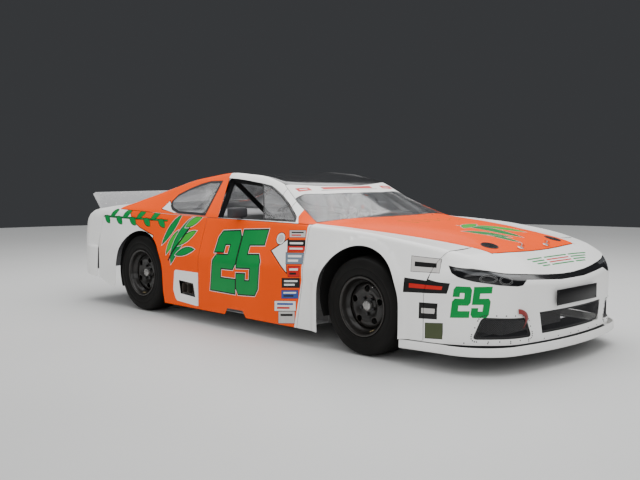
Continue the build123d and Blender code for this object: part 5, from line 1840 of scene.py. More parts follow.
def nose_areas():
    """The nose's painted areas: fender patches that run on, the number and the small bars on top."""
    areas = [(end_from_side(NOSE_PLAN, laid(loop, 0.02), side), colour) for side in (1, -1)
             for loop, colour in patch_areas(patches_on(FENDER_PATCHES, side))]
    for quads in (NOSE_NUMBER, [[(-x, y) for x, y in (b, a, d, c)] for a, b, c, d in NOSE_NUMBER][::-1]):
        for shape, quad in zip((TWO, FIVE), quads):
            areas.append((laid(on_quad(shape, quad), 0.02), "green"))
    for k, x in enumerate((2.300, 2.322, 2.344, 2.366)):
        for y0, y1, colour in ((-0.28 + 0.03 * k, -0.10, "green"), (-0.07, 0.22, "red" if k in (1, 2) else "green"),
                               (0.25, 0.50 - 0.04 * k, "green")):
            strip = [(x, y0), (x, y1), (x + 0.010, y1), (x + 0.010, y0)]
            areas.append((end_from_plan(NOSE_PLAN, laid(strip, 0.02)), colour))
    return areas


def lamp_band():
    """The dark band of the lamps with their painted outlines, and a grey strip along the upper part of each end that is
    a painted highlight.
    """
    lamp_black = glossy_black_plastic()
    # strip: the colour of the painted highlight along the band's upper part
    strip = finish_of("lamp_facets", (0.075, 0.078, 0.082), rough=0.25, metallic=0.3, dust=0.03, vary=0.2,
                      coat=0.3)
    line = finish_of("lamp_outlines", (0.22, 0.22, 0.22), rough=0.35, dust=0.03, vary=0.1)
    highlight_and_outlines = []
    for sign in (1, -1):
        # a lighter strip along the upper part of each end is painted highlight; the rings below are the lamps' printed
        # outlines
        highlight_and_outlines.append((laid([(sign * 0.53, 0.634), (sign * 0.76, 0.651), (sign * 1.03, 0.655),
                             (sign * 0.90, 0.636), (sign * 0.70, 0.622), (sign * 0.53, 0.616)]), 1))
        for at, size in (((0.800, 0.612), (0.058, 0.028)), ((0.680, 0.600), (0.050, 0.028))):
            shape = blob((sign * at[0], at[1]), size, steps=36)
            highlight_and_outlines += [(laid(shape), 2), (laid(widened(shape, -0.0018)), 0), (laid(widened(shape, -0.008)), 2),
                       (laid(widened(shape, -0.0095)), 0)]
    band = make_panel("lamp_band", NOSE_FORM, laid(widened(LAMP_BAND, -0.002)),
                      [lamp_black, strip, line, lamp_black], paint=highlight_and_outlines, edge=3, thickness=0.004, lift=-0.005,
                      step=0.02)
    place(band, "body", "black_plastic", "light_band")


def nose_screens(trim):
    """Framed wire screens set back in the nose's openings."""
    screens, runs = [], []
    for loop in NOSE_OPENINGS:
        screens.append(make_panel("screen_frame", NOSE_FORM, laid(widened(loop, -0.002)),
                                  [dark_trim(), dark_trim()], holes=[laid(widened(loop, -0.014))],
                                  thickness=0.003, lift=-0.010, step=0.02))
        low, high = np.min(loop, axis=0), np.max(loop, axis=0)
        clear = np.array(widened(loop, -0.008))
        for slope in (1, -1):
            pitch, rise = trim.wire_pitch * math.sqrt(2), high[1] - low[1]
            for start in np.arange(low[0] - rise, high[0] + rise, pitch):
                t = np.arange(0, rise + 0.004, 0.012)
                line_run = np.stack([start + slope * t, low[1] + t], 1)
                line_run = line_run[inside(line_run, clear)]
                if len(line_run) > 1:
                    runs.append(on_form(NOSE_FORM, line_run, -0.012)[0])
    screens.append(wires("nose_screen_wires", runs, black_plastic(), trim.wire_radius, 4))
    place(join(screens, "nose_screens"), "body", "mesh", "grille_screens")


def nose_fittings():
    """The nose's screws and its tow strap."""
    heads = [p for loop in NOSE_OPENINGS[1:] for p in dense_path(widened(loop, 0.014), 0.075, closed=True)]
    heads += [(side * a, 0.200) for side in (1, -1) for a in np.arange(0.05, 1.0, 0.15)]
    at, out = on_form(NOSE_FORM, heads, 0.0002)
    screws = fasteners("nose_screws", at, out, dark_fastener(), 0.0045, 0.0018, 10)
    towed, out = on_form(NOSE_FORM, [(0.600, 0.402), (0.575, 0.396), (0.548, 0.374), (0.540, 0.336),
                                     (0.556, 0.290)], 0.006)
    towed += out * np.array([[0.002], [0.008], [0.012], [0.009], [-0.003]])
    pull = strap("tow_strap", towed, 0.032, (0, 0.75, 0.66),
                 woven_fabric("tow_webbing", (0.22, 0.012, 0.010), rough=0.8, weave=800.0), 0.004)
    place(join([screws, pull], "nose_fittings"), "body", "black_plastic")


def number_plate():
    """The blank plate between the openings, with its bolts."""
    low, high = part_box("nose_plate")
    plate = bevelled_block("number_plate_blank", low, high,
                           decal("plate_black", (0.008, 0.008, 0.009)), bevel=0.0015)
    corners = [(high[0] + 0.0003, y, z) for y in (low[1] + 0.014, high[1] - 0.014)
               for z in (low[2] + 0.014, high[2] - 0.014)]
    bolts = fasteners("plate_bolts", corners, [(1, 0, 0)] * 4, dark_fastener(), 0.005, 0.002)
    place(join([plate, bolts], "number_plate_bolted"), "body", "black_plastic", "nose_plate")


class STOCKCAR_OT_nose(bpy.types.Operator):
    """Make the nose cover, the lamp band and the screens in its openings"""
    bl_idname = "stockcar.nose"
    bl_label = "Nose"

    def execute(self, context):
        outline = nose_outline()
        finishes, paint = livery(nose_areas(), lambda loop: loop, "white")
        nose = make_panel("nose_cover", NOSE_FORM, outline, finishes,
                          holes=[laid(loop) for loop in [*NOSE_OPENINGS, LAMP_BAND]], paint=paint)
        place(nose, "body", "paint_white", "front_bumper")
        lamp_band()
        nose_screens(context.scene.stock_car_trim)
        nose_fittings()
        number_plate()
        return {"FINISHED"}


class STOCKCAR_OT_tail(bpy.types.Operator):
    """Make the tail cover and the deck lid"""
    bl_idname = "stockcar.tail"
    bl_label = "Tail"

    def execute(self, context):
        line = [(-2.062, 0.254), (-2.062, 0.932)]
        inner = np.stack([[-2.062, -2.20, -2.397], np.interp([2.062, 2.2, 2.397], [2.060, 2.397], [0.757, 0.750])], 1)
        across = np.array([(-2.397, y) for y in np.linspace(0.72, -0.72, 50)])
        half = [end_from_side(TAIL_PLAN, dense_path(line, 0.02), 1),
                end_from_plan(TAIL_PLAN, dense_path(inner, 0.02))]
        right = np.vstack(half)[::-1] * (-1, 1)
        low_a = np.linspace(right[-1][0], half[0][0][0], 120)[1:-1]
        low_x = TAIL_PLAN.at(low_a)[0]
        low = np.stack([low_a, np.interp(low_x, COLUMN_X, COLUMNS[0]) + 0.003], 1)
        outline = np.vstack(half + [end_from_plan(TAIL_PLAN, across), right, low])
        areas = []
        for y, reach, foot, colour in ((-0.62, 0.06, 0.62, "red"), (-0.46, 0.06, 0.62, "red"),
                                       (0.46, 0.06, 0.62, "red"), (0.62, 0.06, 0.62, "red"), (0, 0.30, 0.60, "grey")):
            block = [(y - reach, foot), (y + reach, foot), (y + reach, 0.74), (y - reach, 0.74)]
            areas.append((end_from_front(TAIL_PLAN, laid(block, 0.02)), colour))
        finishes, paint = livery(areas, lambda loop: loop, "white")
        tail = make_panel("tail_cover", TAIL_FORM, outline, finishes, paint=paint)
        place(tail, "body", "paint_white", "rear_bumper")
        outline = plan_loop(lid_outline(DECK_SIDE, -1.797, -2.385))
        finishes, paint = livery([], lambda loop: loop, "white")
        lid = make_panel("deck_lid_panel", BODY_FORM, outline, finishes, paint=paint)
        place(lid, "deck_lid", "paint_white", "deck_lid")
        return {"FINISHED"}


# ---- aero and small fittings ---------------------------------------------------------------------
# the spoiler's foot on the centre line (x, z), and its slope as (back, up)
SPOILER_FOOT, SPOILER_SLOPE = (-2.352, 0.914), (135, 146)


def spoiler_x(z):
    """x of the spoiler's face at a height."""
    return SPOILER_FOOT[0] - (z - SPOILER_FOOT[1]) * SPOILER_SLOPE[0] / SPOILER_SLOPE[1]


class STOCKCAR_OT_aero(bpy.types.Operator):
    """Make the front splitter and the rear spoiler"""
    bl_idname = "stockcar.aero"
    bl_label = "Splitter and Spoiler"

    def execute(self, context):
        rim = [(1.768, 0.966), (2.080, 0.920)] + arc_through((2.080, 0.920), (2.330, 0.835), (2.460, 0.655), 30)[1:]
        rim += arc_through((2.460, 0.655), (2.540, 0), (2.460, -0.655), 90)[1:]
        rim += [(x, -y) for x, y in reversed(rim[:-91])][1:]
        rim = dense_path(rim, 0.03)
        along = np.gradient(rim, axis=0)
        along /= np.linalg.norm(along, axis=1)[:, None]
        out = np.stack([-along[:, 1], along[:, 0]], 1)
        if out[len(out) // 2][0] < 0:
            out = -out
        path = [(x, y, nx, ny) for (x, y), (nx, ny) in zip(rim, out)]
        profile = [(-0.001, 0.126), (-0.004, 0.122), (-0.060, 0.122), (-0.060, 0.131), (-0.016, 0.131),
                   (-0.013, 0.136), (-0.012, 0.176), (-0.009, 0.180), (-0.005, 0.180), (-0.002, 0.178), (0, 0.170),
                   (0, 0.130)]
        lip = bar_of("splitter_lip", [(x + nx * out, y + ny * out, z) for x, y, nx, ny in path for out, z in profile],
                     len(profile), white_paint(), 35)
        inner = [(p[0] - p[2] * 0.050, p[1] - p[3] * 0.050) for p in path]
        tray_outline = [(1.965, 0.90)] + [q for q in inner if q[0] > 1.97] + [(1.965, -0.90)]
        tray = bar_of("splitter_tray", [(x, y, z) for z in (0.130, 0.123) for x, y in tray_outline],
                      len(tray_outline), black_plastic(), 30)
        place(join([lip, tray], "splitter_tray_and_lip"), "body", "paint_white", "splitter")

        grey = finish_of("spoiler_grey", (0.22, 0.22, 0.225), rough=0.42, dust=0.2, vary=0.05, scuffs=0.4,
                         metallic=0.3, worn=(0.45, 0.45, 0.45))
        half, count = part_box("spoiler")[1][1] - 0.002, 40
        crown, crown_z = section(SPOILER_FOOT[0], np.linspace(0, 2, 60))
        vertices = []
        for k in range(count + 1):
            y = -half + 2 * half * k / count
            foot_z = float(np.interp(abs(y), crown, crown_z)) + 0.002
            corner = max(0.0, (abs(y) - half + 0.035) / 0.035)
            top_z = 1.060 - 0.016 * corner**2
            foot, top = spoiler_x(foot_z), spoiler_x(top_z)
            vertices += [(x, y, z) for x, z in (
                (foot + 0.028, foot_z), (foot + 0.028, foot_z + 0.003), (foot + 0.004, foot_z + 0.003),
                (top, top_z), (top - 0.0035, top_z - 0.001), (foot - 0.0035, foot_z))]
        blade = bar_of("spoiler_blade", vertices, 6, grey, 30)
        ys = np.arange(-0.66, 0.661, 0.12)
        lean = Vector((SPOILER_SLOPE[1], 0, SPOILER_SLOPE[0])).normalized()
        points = [(spoiler_x(0.945) + 0.001, y, 0.945) for y in ys]
        points += [(spoiler_x(1.045) + 0.001, y, 1.045) for y in ys[::2]]
        heads = fasteners("spoiler_rivets", points, [tuple(lean)] * len(points), bright_fastener(), 0.0075, 0.0035)
        place(join([blade, heads], "spoiler_blade_riveted"), "deck_lid", "aluminium_sheet", "spoiler")
        return {"FINISHED"}


class STOCKCAR_OT_mirrors(bpy.types.Operator):
    """Make the door mirrors and the exhaust outlets"""
    bl_idname = "stockcar.mirrors"
    bl_label = "Mirrors and Exhaust"

    def execute(self, context):
        shells = []
        for sign in (1, -1):
            x, y, z = -0.020, 0.862 * sign, 0.948
            mesh = bmesh.new()
            rings = []
            for depth, grow in ((-0.034, 0.92), (-0.030, 1.0), (0.010, 0.98), (0.026, 0.86), (0.033, 0.62)):
                rings.append([mesh.verts.new((x + depth, y + 0.088 * c * grow, z + 0.043 * s * grow))
                              for c, s in squared(32, 0.35)])
            well = [mesh.verts.new((x - 0.022, y + (v.co.y - y) * 0.93, z + (v.co.z - z) * 0.93)) for v in rings[0]]
            bridge(mesh, [well, *rings])
            mesh.faces.new(rings[-1])
            mesh.faces.new(well).material_index = 1
            shell = from_bmesh(mesh, "mirror_shell", [black_plastic(), mirror_glass()], 35)
            arm = pipe("mirror_arm", [(x, y - sign * 0.02, z - 0.03), (x, y - sign * 0.045, z - 0.055),
                                      (x, y - sign * 0.045, z - 0.064)], 0.008, black_plastic())
            foot = bevelled_block("mirror_foot", (x - 0.03, y - 0.020 - sign * 0.03, 0.8855),
                                  (x + 0.03, y + 0.020 - sign * 0.03, 0.8935), black_plastic(), 0.002)
            shells += [shell, arm, foot]
        place(join(shells, "mirror_pair"), "body", "black_plastic", "door_mirrors")

        outlets = []
        steel = finish_of("burnt_steel", (0.10, 0.085, 0.075), rough=0.5, metallic=0.8, dust=0.4, vary=0.3,
                          vary_scale=12.0, fine=300.0, scuffs=0.4)
        for sign in (1, -1):
            for x0, x1 in ((-0.690, -0.608), (-0.607, -0.525)):
                mesh = bmesh.new()
                cx, cz = (x0 + x1) / 2, 0.281
                rings = []
                for y, w, h in ((0.660, 0.040, 0.044), (0.942, 0.040, 0.044), (0.946, 0.039, 0.043),
                                (0.946, 0.036, 0.040), (0.942, 0.035, 0.039), (0.662, 0.035, 0.039)):
                    rings.append([mesh.verts.new((cx + w * c, sign * y, cz + h * s)) for c, s in squared(24, 0.5)])
                bridge(mesh, [*rings, rings[0]])
                outlets.append(from_bmesh(mesh, "outlet", [steel], 40))
        place(join(outlets, "twin_outlets"), "body", "axle_steel", "exhaust_outlets")
        return {"FINISHED"}


# ---- wheels --------------------------------------------------------------------------------------
AXLE_X = {"front": 1.390, "rear": -1.350}
WHEEL_Y, WHEEL_Z = 0.790, 0.349
HOLE_TURN = math.radians(17)       # how far round the first hole in a disc is


def make_tyre(wheels):
    """The tyre round the Y axis, its tread and its sidewalls in finishes of their own."""
    radius, half = wheels.tyre_radius, wheels.tyre_width / 2
    rubber, tread = tyre_rubber(), scrubbed_tread()
    side = [(radius - 0.0015, half - 0.050), (radius - 0.004, half - 0.036), (radius - 0.010, half - 0.020),
            (radius - 0.020, half - 0.0085), (radius - 0.032, half - 0.0035), (radius - 0.045, half - 0.001),
            (radius - 0.060, half), (radius - 0.075, half), (radius - 0.077, half - 0.0012),
            (radius - 0.079, half - 0.0012), (radius - 0.081, half - 0.0004), (radius - 0.098, half - 0.001),
            (radius - 0.112, half - 0.003), (radius - 0.124, half - 0.006), (radius - 0.126, half - 0.0045),
            (radius - 0.129, half - 0.0045), (radius - 0.131, half - 0.007), (0.2145, half - 0.012),
            (0.2085, half - 0.018), (0.2035, half - 0.024)]
    profile = ([(radius, -half * 0.35), (radius, 0.0), (radius, half * 0.35), (radius, half - 0.062)] + side
               + [(r, -y) for r, y in reversed(side)] + [(radius, -half + 0.062)])
    marks = [1 if r > radius - 0.0035 else 0 for r, _ in profile]
    return revolve("tyre", profile, [rubber, tread], segments=128, indices=marks, sharp=40)


def rim_barrel(paint):
    """The rim's barrel with its two lips."""
    rim_half, lip = 0.131, 0.211
    barrel = [(lip, rim_half), (lip, rim_half - 0.004), (lip - 0.002, rim_half - 0.010),
              (0.2005, rim_half - 0.016), (0.199, rim_half - 0.024), (0.197, rim_half - 0.034),
              (0.189, rim_half - 0.044), (0.181, rim_half - 0.055), (0.174, rim_half - 0.066),
              (0.172, 0.030), (0.172, -0.058), (0.189, -rim_half + 0.034), (0.199, -rim_half + 0.018),
              (lip - 0.002, -rim_half + 0.010), (lip, -rim_half + 0.004), (lip, -rim_half),
              (0.206, -rim_half), (0.192, -rim_half + 0.006), (0.182, -rim_half + 0.032),
              (0.166, -0.060), (0.166, 0.030), (0.1665, rim_half - 0.064), (0.174, rim_half - 0.054),
              (0.1815, rim_half - 0.044), (0.188, rim_half - 0.030), (0.1915, rim_half - 0.014),
              (0.197, rim_half - 0.004), (0.204, rim_half)]
    return revolve("rim_barrel", barrel, [paint], segments=112, sharp=28)


def rim_disc(paint):
    """The dished disc with its round holes."""
    disc_y = 0.060

    def dish(r):
        return float(np.interp(r, [0.0, 0.036, 0.060, 0.075, 0.088, 0.105, 0.125, 0.146, 0.158, 0.168],
                               [0.0, 0.0, 0.0, 0.001, 0.008, 0.016, 0.0175, 0.011, 0.001, -0.012])) + disc_y
    holes, hole_ring, hole_r = 5, 0.122, 0.024
    outline = np.array(circle(0.1685, 96))

    def hole_loops(radius):
        angles = [2 * math.pi * k / holes + HOLE_TURN for k in range(holes)]
        return [np.array(circle(radius, 28, hole_ring * math.cos(a), hole_ring * math.sin(a))) for a in angles]
    loops, wider = [outline] + hole_loops(hole_r), [outline * 0.97] + hole_loops(hole_r + 0.004)
    grid = [(r * math.cos(t), r * math.sin(t)) for r in np.arange(0.010, 0.160, 0.009)
            for t in np.linspace(0, 2 * math.pi, max(8, int(r * 420)), endpoint=False)]
    grid = np.array([p for p in grid if all(math.hypot(p[0] - w[:, 0].mean(), p[1] - w[:, 1].mean())
                                            > hole_r + 0.0065 for w in wider[1:])])
    flat, faces, _ = triangles(loops, wider, grid)
    rim_points = {tuple(np.round(p, 6)) for loop in loops[1:] for p in loop}
    drop = np.array([0.0022 if tuple(np.round(p, 6)) in rim_points else 0.0 for p in flat])
    height = np.array([dish(math.hypot(*p)) for p in flat]) - drop
    count = len(flat)
    vertices = [(p[0], h, p[1]) for p, h in zip(flat, height)]
    vertices += [(p[0], h - 0.005, p[1]) for p, h in zip(flat, height)]
    sides = {}
    all_faces = [tuple(f) for f in faces] + [tuple(int(i) + count for i in f[::-1]) for f in faces]
    for f in faces:
        for i in range(3):
            sides[(f[i], f[(i + 1) % 3])] = True
    all_faces += [(j, i, i + count, j + count) for i, j in sides if (j, i) not in sides]
    disc = make_mesh("rim_disc", vertices, all_faces, [paint])
    tidy_normals(disc, 38)
    return disc


def hub_cap():
    """The cap over the hub and the bright ring on it."""
    cap = revolve("hub_cap", [(0.0, 0.084), (0.020, 0.0838), (0.030, 0.0825), (0.0345, 0.079), (0.036, 0.072),
                              (0.036, 0.058), (0.0, 0.058)], [finish_of(
                                  "hub_cap_grey", (0.36, 0.355, 0.345), rough=0.4, metallic=0.75, dust=0.4,
                                  dust_height=0.8, vary=0.1, vary_scale=30.0, scuffs=0.5)],
                  segments=48, closed=False)
    ring = revolve("cap_groove", [(0.027, 0.0836), (0.0285, 0.0845), (0.030, 0.0830), (0.0285, 0.0822)],
                   [bright_fastener()], segments=40)
    return cap, ring


def wheel_nuts(count):
    """The nuts, set between the disc's holes."""
    nuts = []
    for k in range(count):
        a = 2 * math.pi * k / count + HOLE_TURN + math.pi / 5
        nut = bmesh.new()
        bmesh.ops.create_cone(nut, cap_ends=True, segments=6, radius1=0.0125, radius2=0.0115, depth=0.018)
        bmesh.ops.bevel(nut, geom=list(nut.edges), offset=0.0012, segments=1, affect="EDGES")
        bmesh.ops.rotate(nut, matrix=Matrix.Rotation(-math.pi / 2, 3, "X"), verts=nut.verts)
        bmesh.ops.translate(nut, vec=(0.058 * math.cos(a), 0.0685, 0.058 * math.sin(a)), verts=nut.verts)
        nuts.append(from_bmesh(nut, "wheel_nut", [dark_fastener()], 40))
    return nuts


def stem_and_weight():
    """The valve's stem and a clip-on balance weight."""
    stem_a = math.radians(62)
    stem = pipe("valve_stem", [(0.164 * math.cos(stem_a), 0.062, 0.164 * math.sin(stem_a)),
                               (0.160 * math.cos(stem_a), 0.085, 0.160 * math.sin(stem_a)),
                               (0.156 * math.cos(stem_a), 0.098, 0.156 * math.sin(stem_a))], 0.0032,
                bright_fastener(), segments=10, bend=0.01)
    weight_a = math.radians(-64)
    weight = bevelled_block("balance_weight", (-0.020, 0.097, -0.004), (0.020, 0.115, 0.0),
                            finish_of("balance_lead", (0.42, 0.33, 0.18), rough=0.5, metallic=0.5, dust=0.2,
                                      vary=0.15), 0.0015)
    shift(weight, Matrix.Translation((0.184 * math.cos(weight_a), 0, 0.184 * math.sin(weight_a)))
          @ Matrix.Rotation(math.pi / 2 - weight_a, 4, "Y"))
    return stem, weight


class STOCKCAR_OT_wheels(bpy.types.Operator):
    """Make the steel wheels and their tyres, which have no pattern on their tread"""
    bl_idname = "stockcar.wheels"
    bl_label = "Wheels and Tyres"

    def execute(self, context):
        wheels = context.scene.stock_car_wheels
        tyre, paint = make_tyre(wheels), wheel_paint()
        wheel = join([rim_barrel(paint), rim_disc(paint), *hub_cap(), *stem_and_weight(),
                      *wheel_nuts(wheels.wheel_nuts)], "wheel")
        for end, x in AXLE_X.items():
            for side_name, sign in (("left", 1), ("right", -1)):
                turned = Matrix.Rotation(math.radians(23 if end == "rear" else 0), 4, "Y")
                mirror = Matrix.Diagonal((1, sign, 1, 1))
                at = Matrix.Translation((x, sign * WHEEL_Y, WHEEL_Z))
                body = f"wheel_{end}_{side_name}"
                place(copy_of(tyre, f"tyre_{end}_{side_name}_slick", at @ mirror), body, "tyre",
                      f"tyre_{end}_{side_name}")
                place(copy_of(wheel, f"rim_{end}_{side_name}_steel", at @ mirror @ turned), body, "wheel_black",
                      f"rim_{end}_{side_name}")
        discard(tyre)
        discard(wheel)
        return {"FINISHED"}


# ---- chassis and cabin ---------------------------------------------------------------------------
def side_plate(name, outline, y0, y1, material, bevel=0.003, corner=0.03):
    """A plate across the car over an (x, z) outline, with rounded corners and edges."""
    mesh = bmesh.new()
    ring = [mesh.verts.new((x, min(y0, y1), z)) for x, z in eased(outline, corner)]
    face = mesh.faces.new(ring)
    grown_part = bmesh.ops.extrude_face_region(mesh, geom=[face])["geom"]
    bmesh.ops.translate(mesh, vec=(0, abs(y1 - y0), 0),
                        verts=[v for v in grown_part if isinstance(v, bmesh.types.BMVert)])
    rims = [e for e in mesh.edges if len({round(v.co.y, 6) for v in e.verts}) == 1]
    bmesh.ops.bevel(mesh, geom=rims, offset=bevel, segments=2, profile=0.5, affect="EDGES")
    return from_bmesh(mesh, name, [material], 40)


def pad(name, size, material, matrix, crown=0.35, pull=0.05, channels=(), cuts=22):
    """A stuffed pad: crowned on top, its sides drawn in between the corners, with sewn channels across it.

    channels are places along x from -1 to 1, and the pad's flat back is at its own z of 0."""
    mesh = bmesh.new()
    bmesh.ops.create_cube(mesh, size=2)
    bmesh.ops.subdivide_edges(mesh, edges=mesh.edges, cuts=cuts, use_grid_fill=True)
    for vertex in mesh.verts:
        x, y, z = vertex.co
        scale = (abs(x) ** 7 + abs(y) ** 7 + abs(z) ** 4) ** (-1 / 7)
        x, y, z = x * scale, y * scale, z * min(scale, 1)
        across, along = x * (1 - pull * (1 - y * y)), y * (1 - pull * (1 - x * x))
        height = z
        if z > 0:
            sewn = sum(math.exp(-(((across - c) * size[0] / 2) / 0.0045) ** 2) for c in channels)
            height = z * (1 + crown * (1 - x * x) * (1 - y * y) - 0.34 * min(1, sewn)
                          + 0.03 * math.sin(9 * x + 2) * math.sin(7 * y + 1))
        vertex.co = (across * size[0] / 2, along * size[1] / 2, (height + 1) * size[2] / 2)
    return shift(from_bmesh(mesh, name, [material], 60), matrix)


def seat_cloth():
    return woven_fabric("seat_cloth", (0.018, 0.018, 0.020), rough=0.85, weave=520.0)


def webbing():
    return woven_fabric("harness_webbing", (0.30, 0.012, 0.012), rough=0.7, weave=900.0, sheen=0.1)


SEAT_Y, SEAT_HALF = 0.330, 0.215
BACK_LOW, BACK_HIGH = Vector((-0.300, SEAT_Y, 0.190)), Vector((-0.400, SEAT_Y, 0.920))


class STOCKCAR_OT_seat(bpy.types.Operator):
    """Make the driver's bucket seat with its pads and its harness"""
    bl_idname = "stockcar.seat"
    bl_label = "Driver Seat"

    def execute(self, context):
        shell = finish_of("seat_shell", (0.035, 0.035, 0.037), rough=0.38, dust=0.15, vary=0.12, fine=500.0,
                          scuffs=0.4, worn=(0.2, 0.2, 0.2))
        parts = [side_plate("seat_back_shell", [(-0.300, 0.182), (-0.400, 0.920), (-0.428, 0.915), (-0.334, 0.182)],
                            SEAT_Y - SEAT_HALF, SEAT_Y + SEAT_HALF, shell, 0.008, 0.012),
                 side_plate("seat_base_shell", [(-0.330, 0.181), (0.130, 0.181), (0.130, 0.214), (-0.330, 0.205)],
                            SEAT_Y - SEAT_HALF, SEAT_Y + SEAT_HALF, shell, 0.006, 0.010)]
        for sign in (-1, 1):
            inner, outer = SEAT_Y + sign * SEAT_HALF, SEAT_Y + sign * (SEAT_HALF + 0.018)
            parts += [side_plate("seat_side", [(-0.330, 0.182), (0.128, 0.182), (0.128, 0.298), (-0.120, 0.340),
                                               (-0.240, 0.618), (-0.368, 0.638)], inner, outer, shell, 0.006, 0.045),
                      side_plate("head_side", [(-0.386, 0.742), (-0.184, 0.772), (-0.184, 0.878), (-0.408, 0.912)],
                                 inner, outer, shell, 0.006, 0.030)]
        place(join(parts, "seat_shell_bucket"), "body", "seat_black", "driver_seat")

        cloth = seat_cloth()
        back = (BACK_HIGH - BACK_LOW).normalized()
        front = Vector((back.z, 0, -back.x))

        def on_back(t, off=0.0, y=SEAT_Y):
            at = BACK_LOW.lerp(BACK_HIGH, t) + front * off
            return Matrix.Translation((at.x, y, at.z)) @ Matrix((-back, (0, 1, 0), front)).transposed().to_4x4()
        pads = [("seat_base_pad", (0.40, 0.385, 0.045), Matrix.Translation((-0.075, SEAT_Y, 0.213)),
                 0.55, (-0.6, -0.2, 0.2, 0.6)),
                ("seat_back_pad", (0.40, 0.370, 0.040), on_back(0.37, 0.002), 0.5, (-0.6, -0.2, 0.2, 0.6)),
                ("head_pad", (0.150, 0.300, 0.035), on_back(0.875, 0.002), 0.5, (0.0,))]
        for sign, name in ((-1, "right"), (1, "left")):
            turn = Matrix.Rotation(sign * math.pi / 2, 4, "X")
            inner = SEAT_Y + sign * (SEAT_HALF - 0.001)
            pads += [(f"rib_pad_{name}", (0.210, 0.110, 0.028),
                      Matrix.Translation((-0.275, inner, 0.505)) @ Matrix.Rotation(math.radians(98), 4, "Y")
                      @ Matrix.Rotation(sign * math.pi / 2, 4, "X"), 0.4, (0.0,)),
                     (f"thigh_pad_{name}", (0.300, 0.062, 0.022),
                      Matrix.Translation((-0.060, inner, 0.288)) @ turn, 0.4, (-0.4, 0.4)),
                     (f"head_wing_pad_{name}", (0.170, 0.090, 0.026),
                      Matrix.Translation((-0.290, inner, 0.826)) @ turn, 0.4, (0.0,))]
        for name, size, matrix, crown, channels in pads:
            piece = pad(name, size, cloth, matrix, crown, 0.05, channels)
            place(piece, "body", "seat_black")

        belt, steel = webbing(), bright_fastener()
        buckle = Vector((-0.120, SEAT_Y, 0.330))
        straps = []
        for sign in (-1, 1):
            y = SEAT_Y + sign * 0.075
            straps.append(strap("shoulder_strap", [
                (-0.470, y, 0.838), (-0.440, y, 0.790), (-0.392, y, 0.770), (-0.320, y, 0.750),
                (-0.285, y, 0.640), (-0.262, y - sign * 0.01, 0.520), (-0.215, y - sign * 0.04, 0.400),
                (buckle.x, y - sign * 0.060, buckle.z + 0.012)], 0.050, (0, 1, 0), belt))
            straps.append(strap("lap_strap", [
                (-0.215, SEAT_Y + sign * 0.205, 0.235), (-0.205, SEAT_Y + sign * 0.190, 0.290),
                (-0.175, SEAT_Y + sign * 0.120, 0.325), (buckle.x, SEAT_Y + sign * 0.022, buckle.z)],
                0.050, (0.1, 0, 1), belt))
            straps.append(bevelled_block("strap_adjuster", (-0.283, y - 0.030, 0.560), (-0.268, y + 0.030, 0.600),
                                         steel, 0.003, turn=Matrix.Rotation(math.radians(-8), 3, "Y")))
        straps.append(strap("crotch_strap", [(-0.045, SEAT_Y, 0.268), (-0.080, SEAT_Y, 0.292),
                                             (buckle.x, SEAT_Y, buckle.z - 0.012)], 0.045, (0, 1, 0), belt))
        lock = revolve("buckle", [(0, 0.014), (0.018, 0.014), (0.024, 0.010), (0.031, 0.008), (0.034, 0.002),
                                  (0.034, -0.006), (0, -0.006)], [steel], 40, closed=False)
        straps.append(shift(lock, Matrix.Translation(buckle + Vector((0.010, 0, 0.010)))
                            @ Matrix.Rotation(math.radians(55), 4, "Y") @ Matrix.Rotation(math.pi / 2, 4, "X")))
        place(join(straps, "harness_five_point"), "body", "seat_black")
        return {"FINISHED"}


class STOCKCAR_OT_steering_wheel(bpy.types.Operator):
    """Make the steering wheel, its quick release and its column"""
    bl_idname = "stockcar.steering_wheel"
    bl_label = "Steering Wheel"

    def execute(self, context):
        grip = finish_of("wheel_suede", (0.016, 0.016, 0.017), rough=0.92, dust=0.05, fine=900.0, fine_share=0.8,
                         relief=0.0015, strength=0.7, sheen=0.3, vary=0.2)
        spoke = finish_of("spoke_anodised", (0.030, 0.030, 0.032), rough=0.35, metallic=0.6, dust=0.05, vary=0.1)
        turn = Matrix.Translation((0.190, SEAT_Y, 0.800)) @ Matrix.Rotation(math.radians(-72), 4, "Y")
        ring = [(x, y, 0) for x, y in circle(0.170, 60)]
        parts = [pipe("wheel_grip", ring, 0.0135, grip, 20, 0.01, closed=True)]
        marker = [(0.170 * math.cos(t), 0.170 * math.sin(t), 0) for t in np.linspace(-0.10, 0.10, 5)]
        parts.append(pipe("wheel_marker", marker, 0.0139, orange_paint(), 20, 0.005))
        for angle in (-20, 200, 90):
            arm = bevelled_block("wheel_spoke", (0.026, -0.017, -0.003), (0.163, 0.017, 0.001), spoke, 0.0015)
            parts.append(shift(arm, Matrix.Rotation(math.radians(angle), 4, "Z")))
            for reach in (0.066, 0.092, 0.118):
                hole = revolve("spoke_rim", [(0.0075, 0.0015), (0.010, 0.0024), (0.0125, 0.0012), (0.010, -0.0005)],
                               [bright_fastener()], 24)
                parts.append(shift(hole, Matrix.Rotation(math.radians(angle), 4, "Z")
                                   @ Matrix.Translation((reach, 0, 0.0008)) @ Matrix.Rotation(math.pi / 2, 4, "X")))
        hub = revolve("quick_release", [(0, 0.014), (0.020, 0.014), (0.024, 0.011), (0.036, 0.010), (0.038, 0.006),
                                        (0.038, -0.012), (0.030, -0.016), (0.024, -0.030), (0.0135, -0.034),
                                        (0.0128, -0.298), (0, -0.298)], [spoke], 40, closed=False)
        parts.append(shift(hub, Matrix.Rotation(math.pi / 2, 4, "X")))
        bolts = [(x, y, 0.0105) for x, y in circle(0.029, 6)]
        parts.append(fasteners("hub_bolts", bolts, [(0, 0, 1)] * 6, bright_fastener(), 0.0038, 0.0022))
        wheel = join(parts, "steering_wheel_suede")
        place(shift(wheel, turn), "steering_wheel", "seat_black", "steering_wheel")
        return {"FINISHED"}


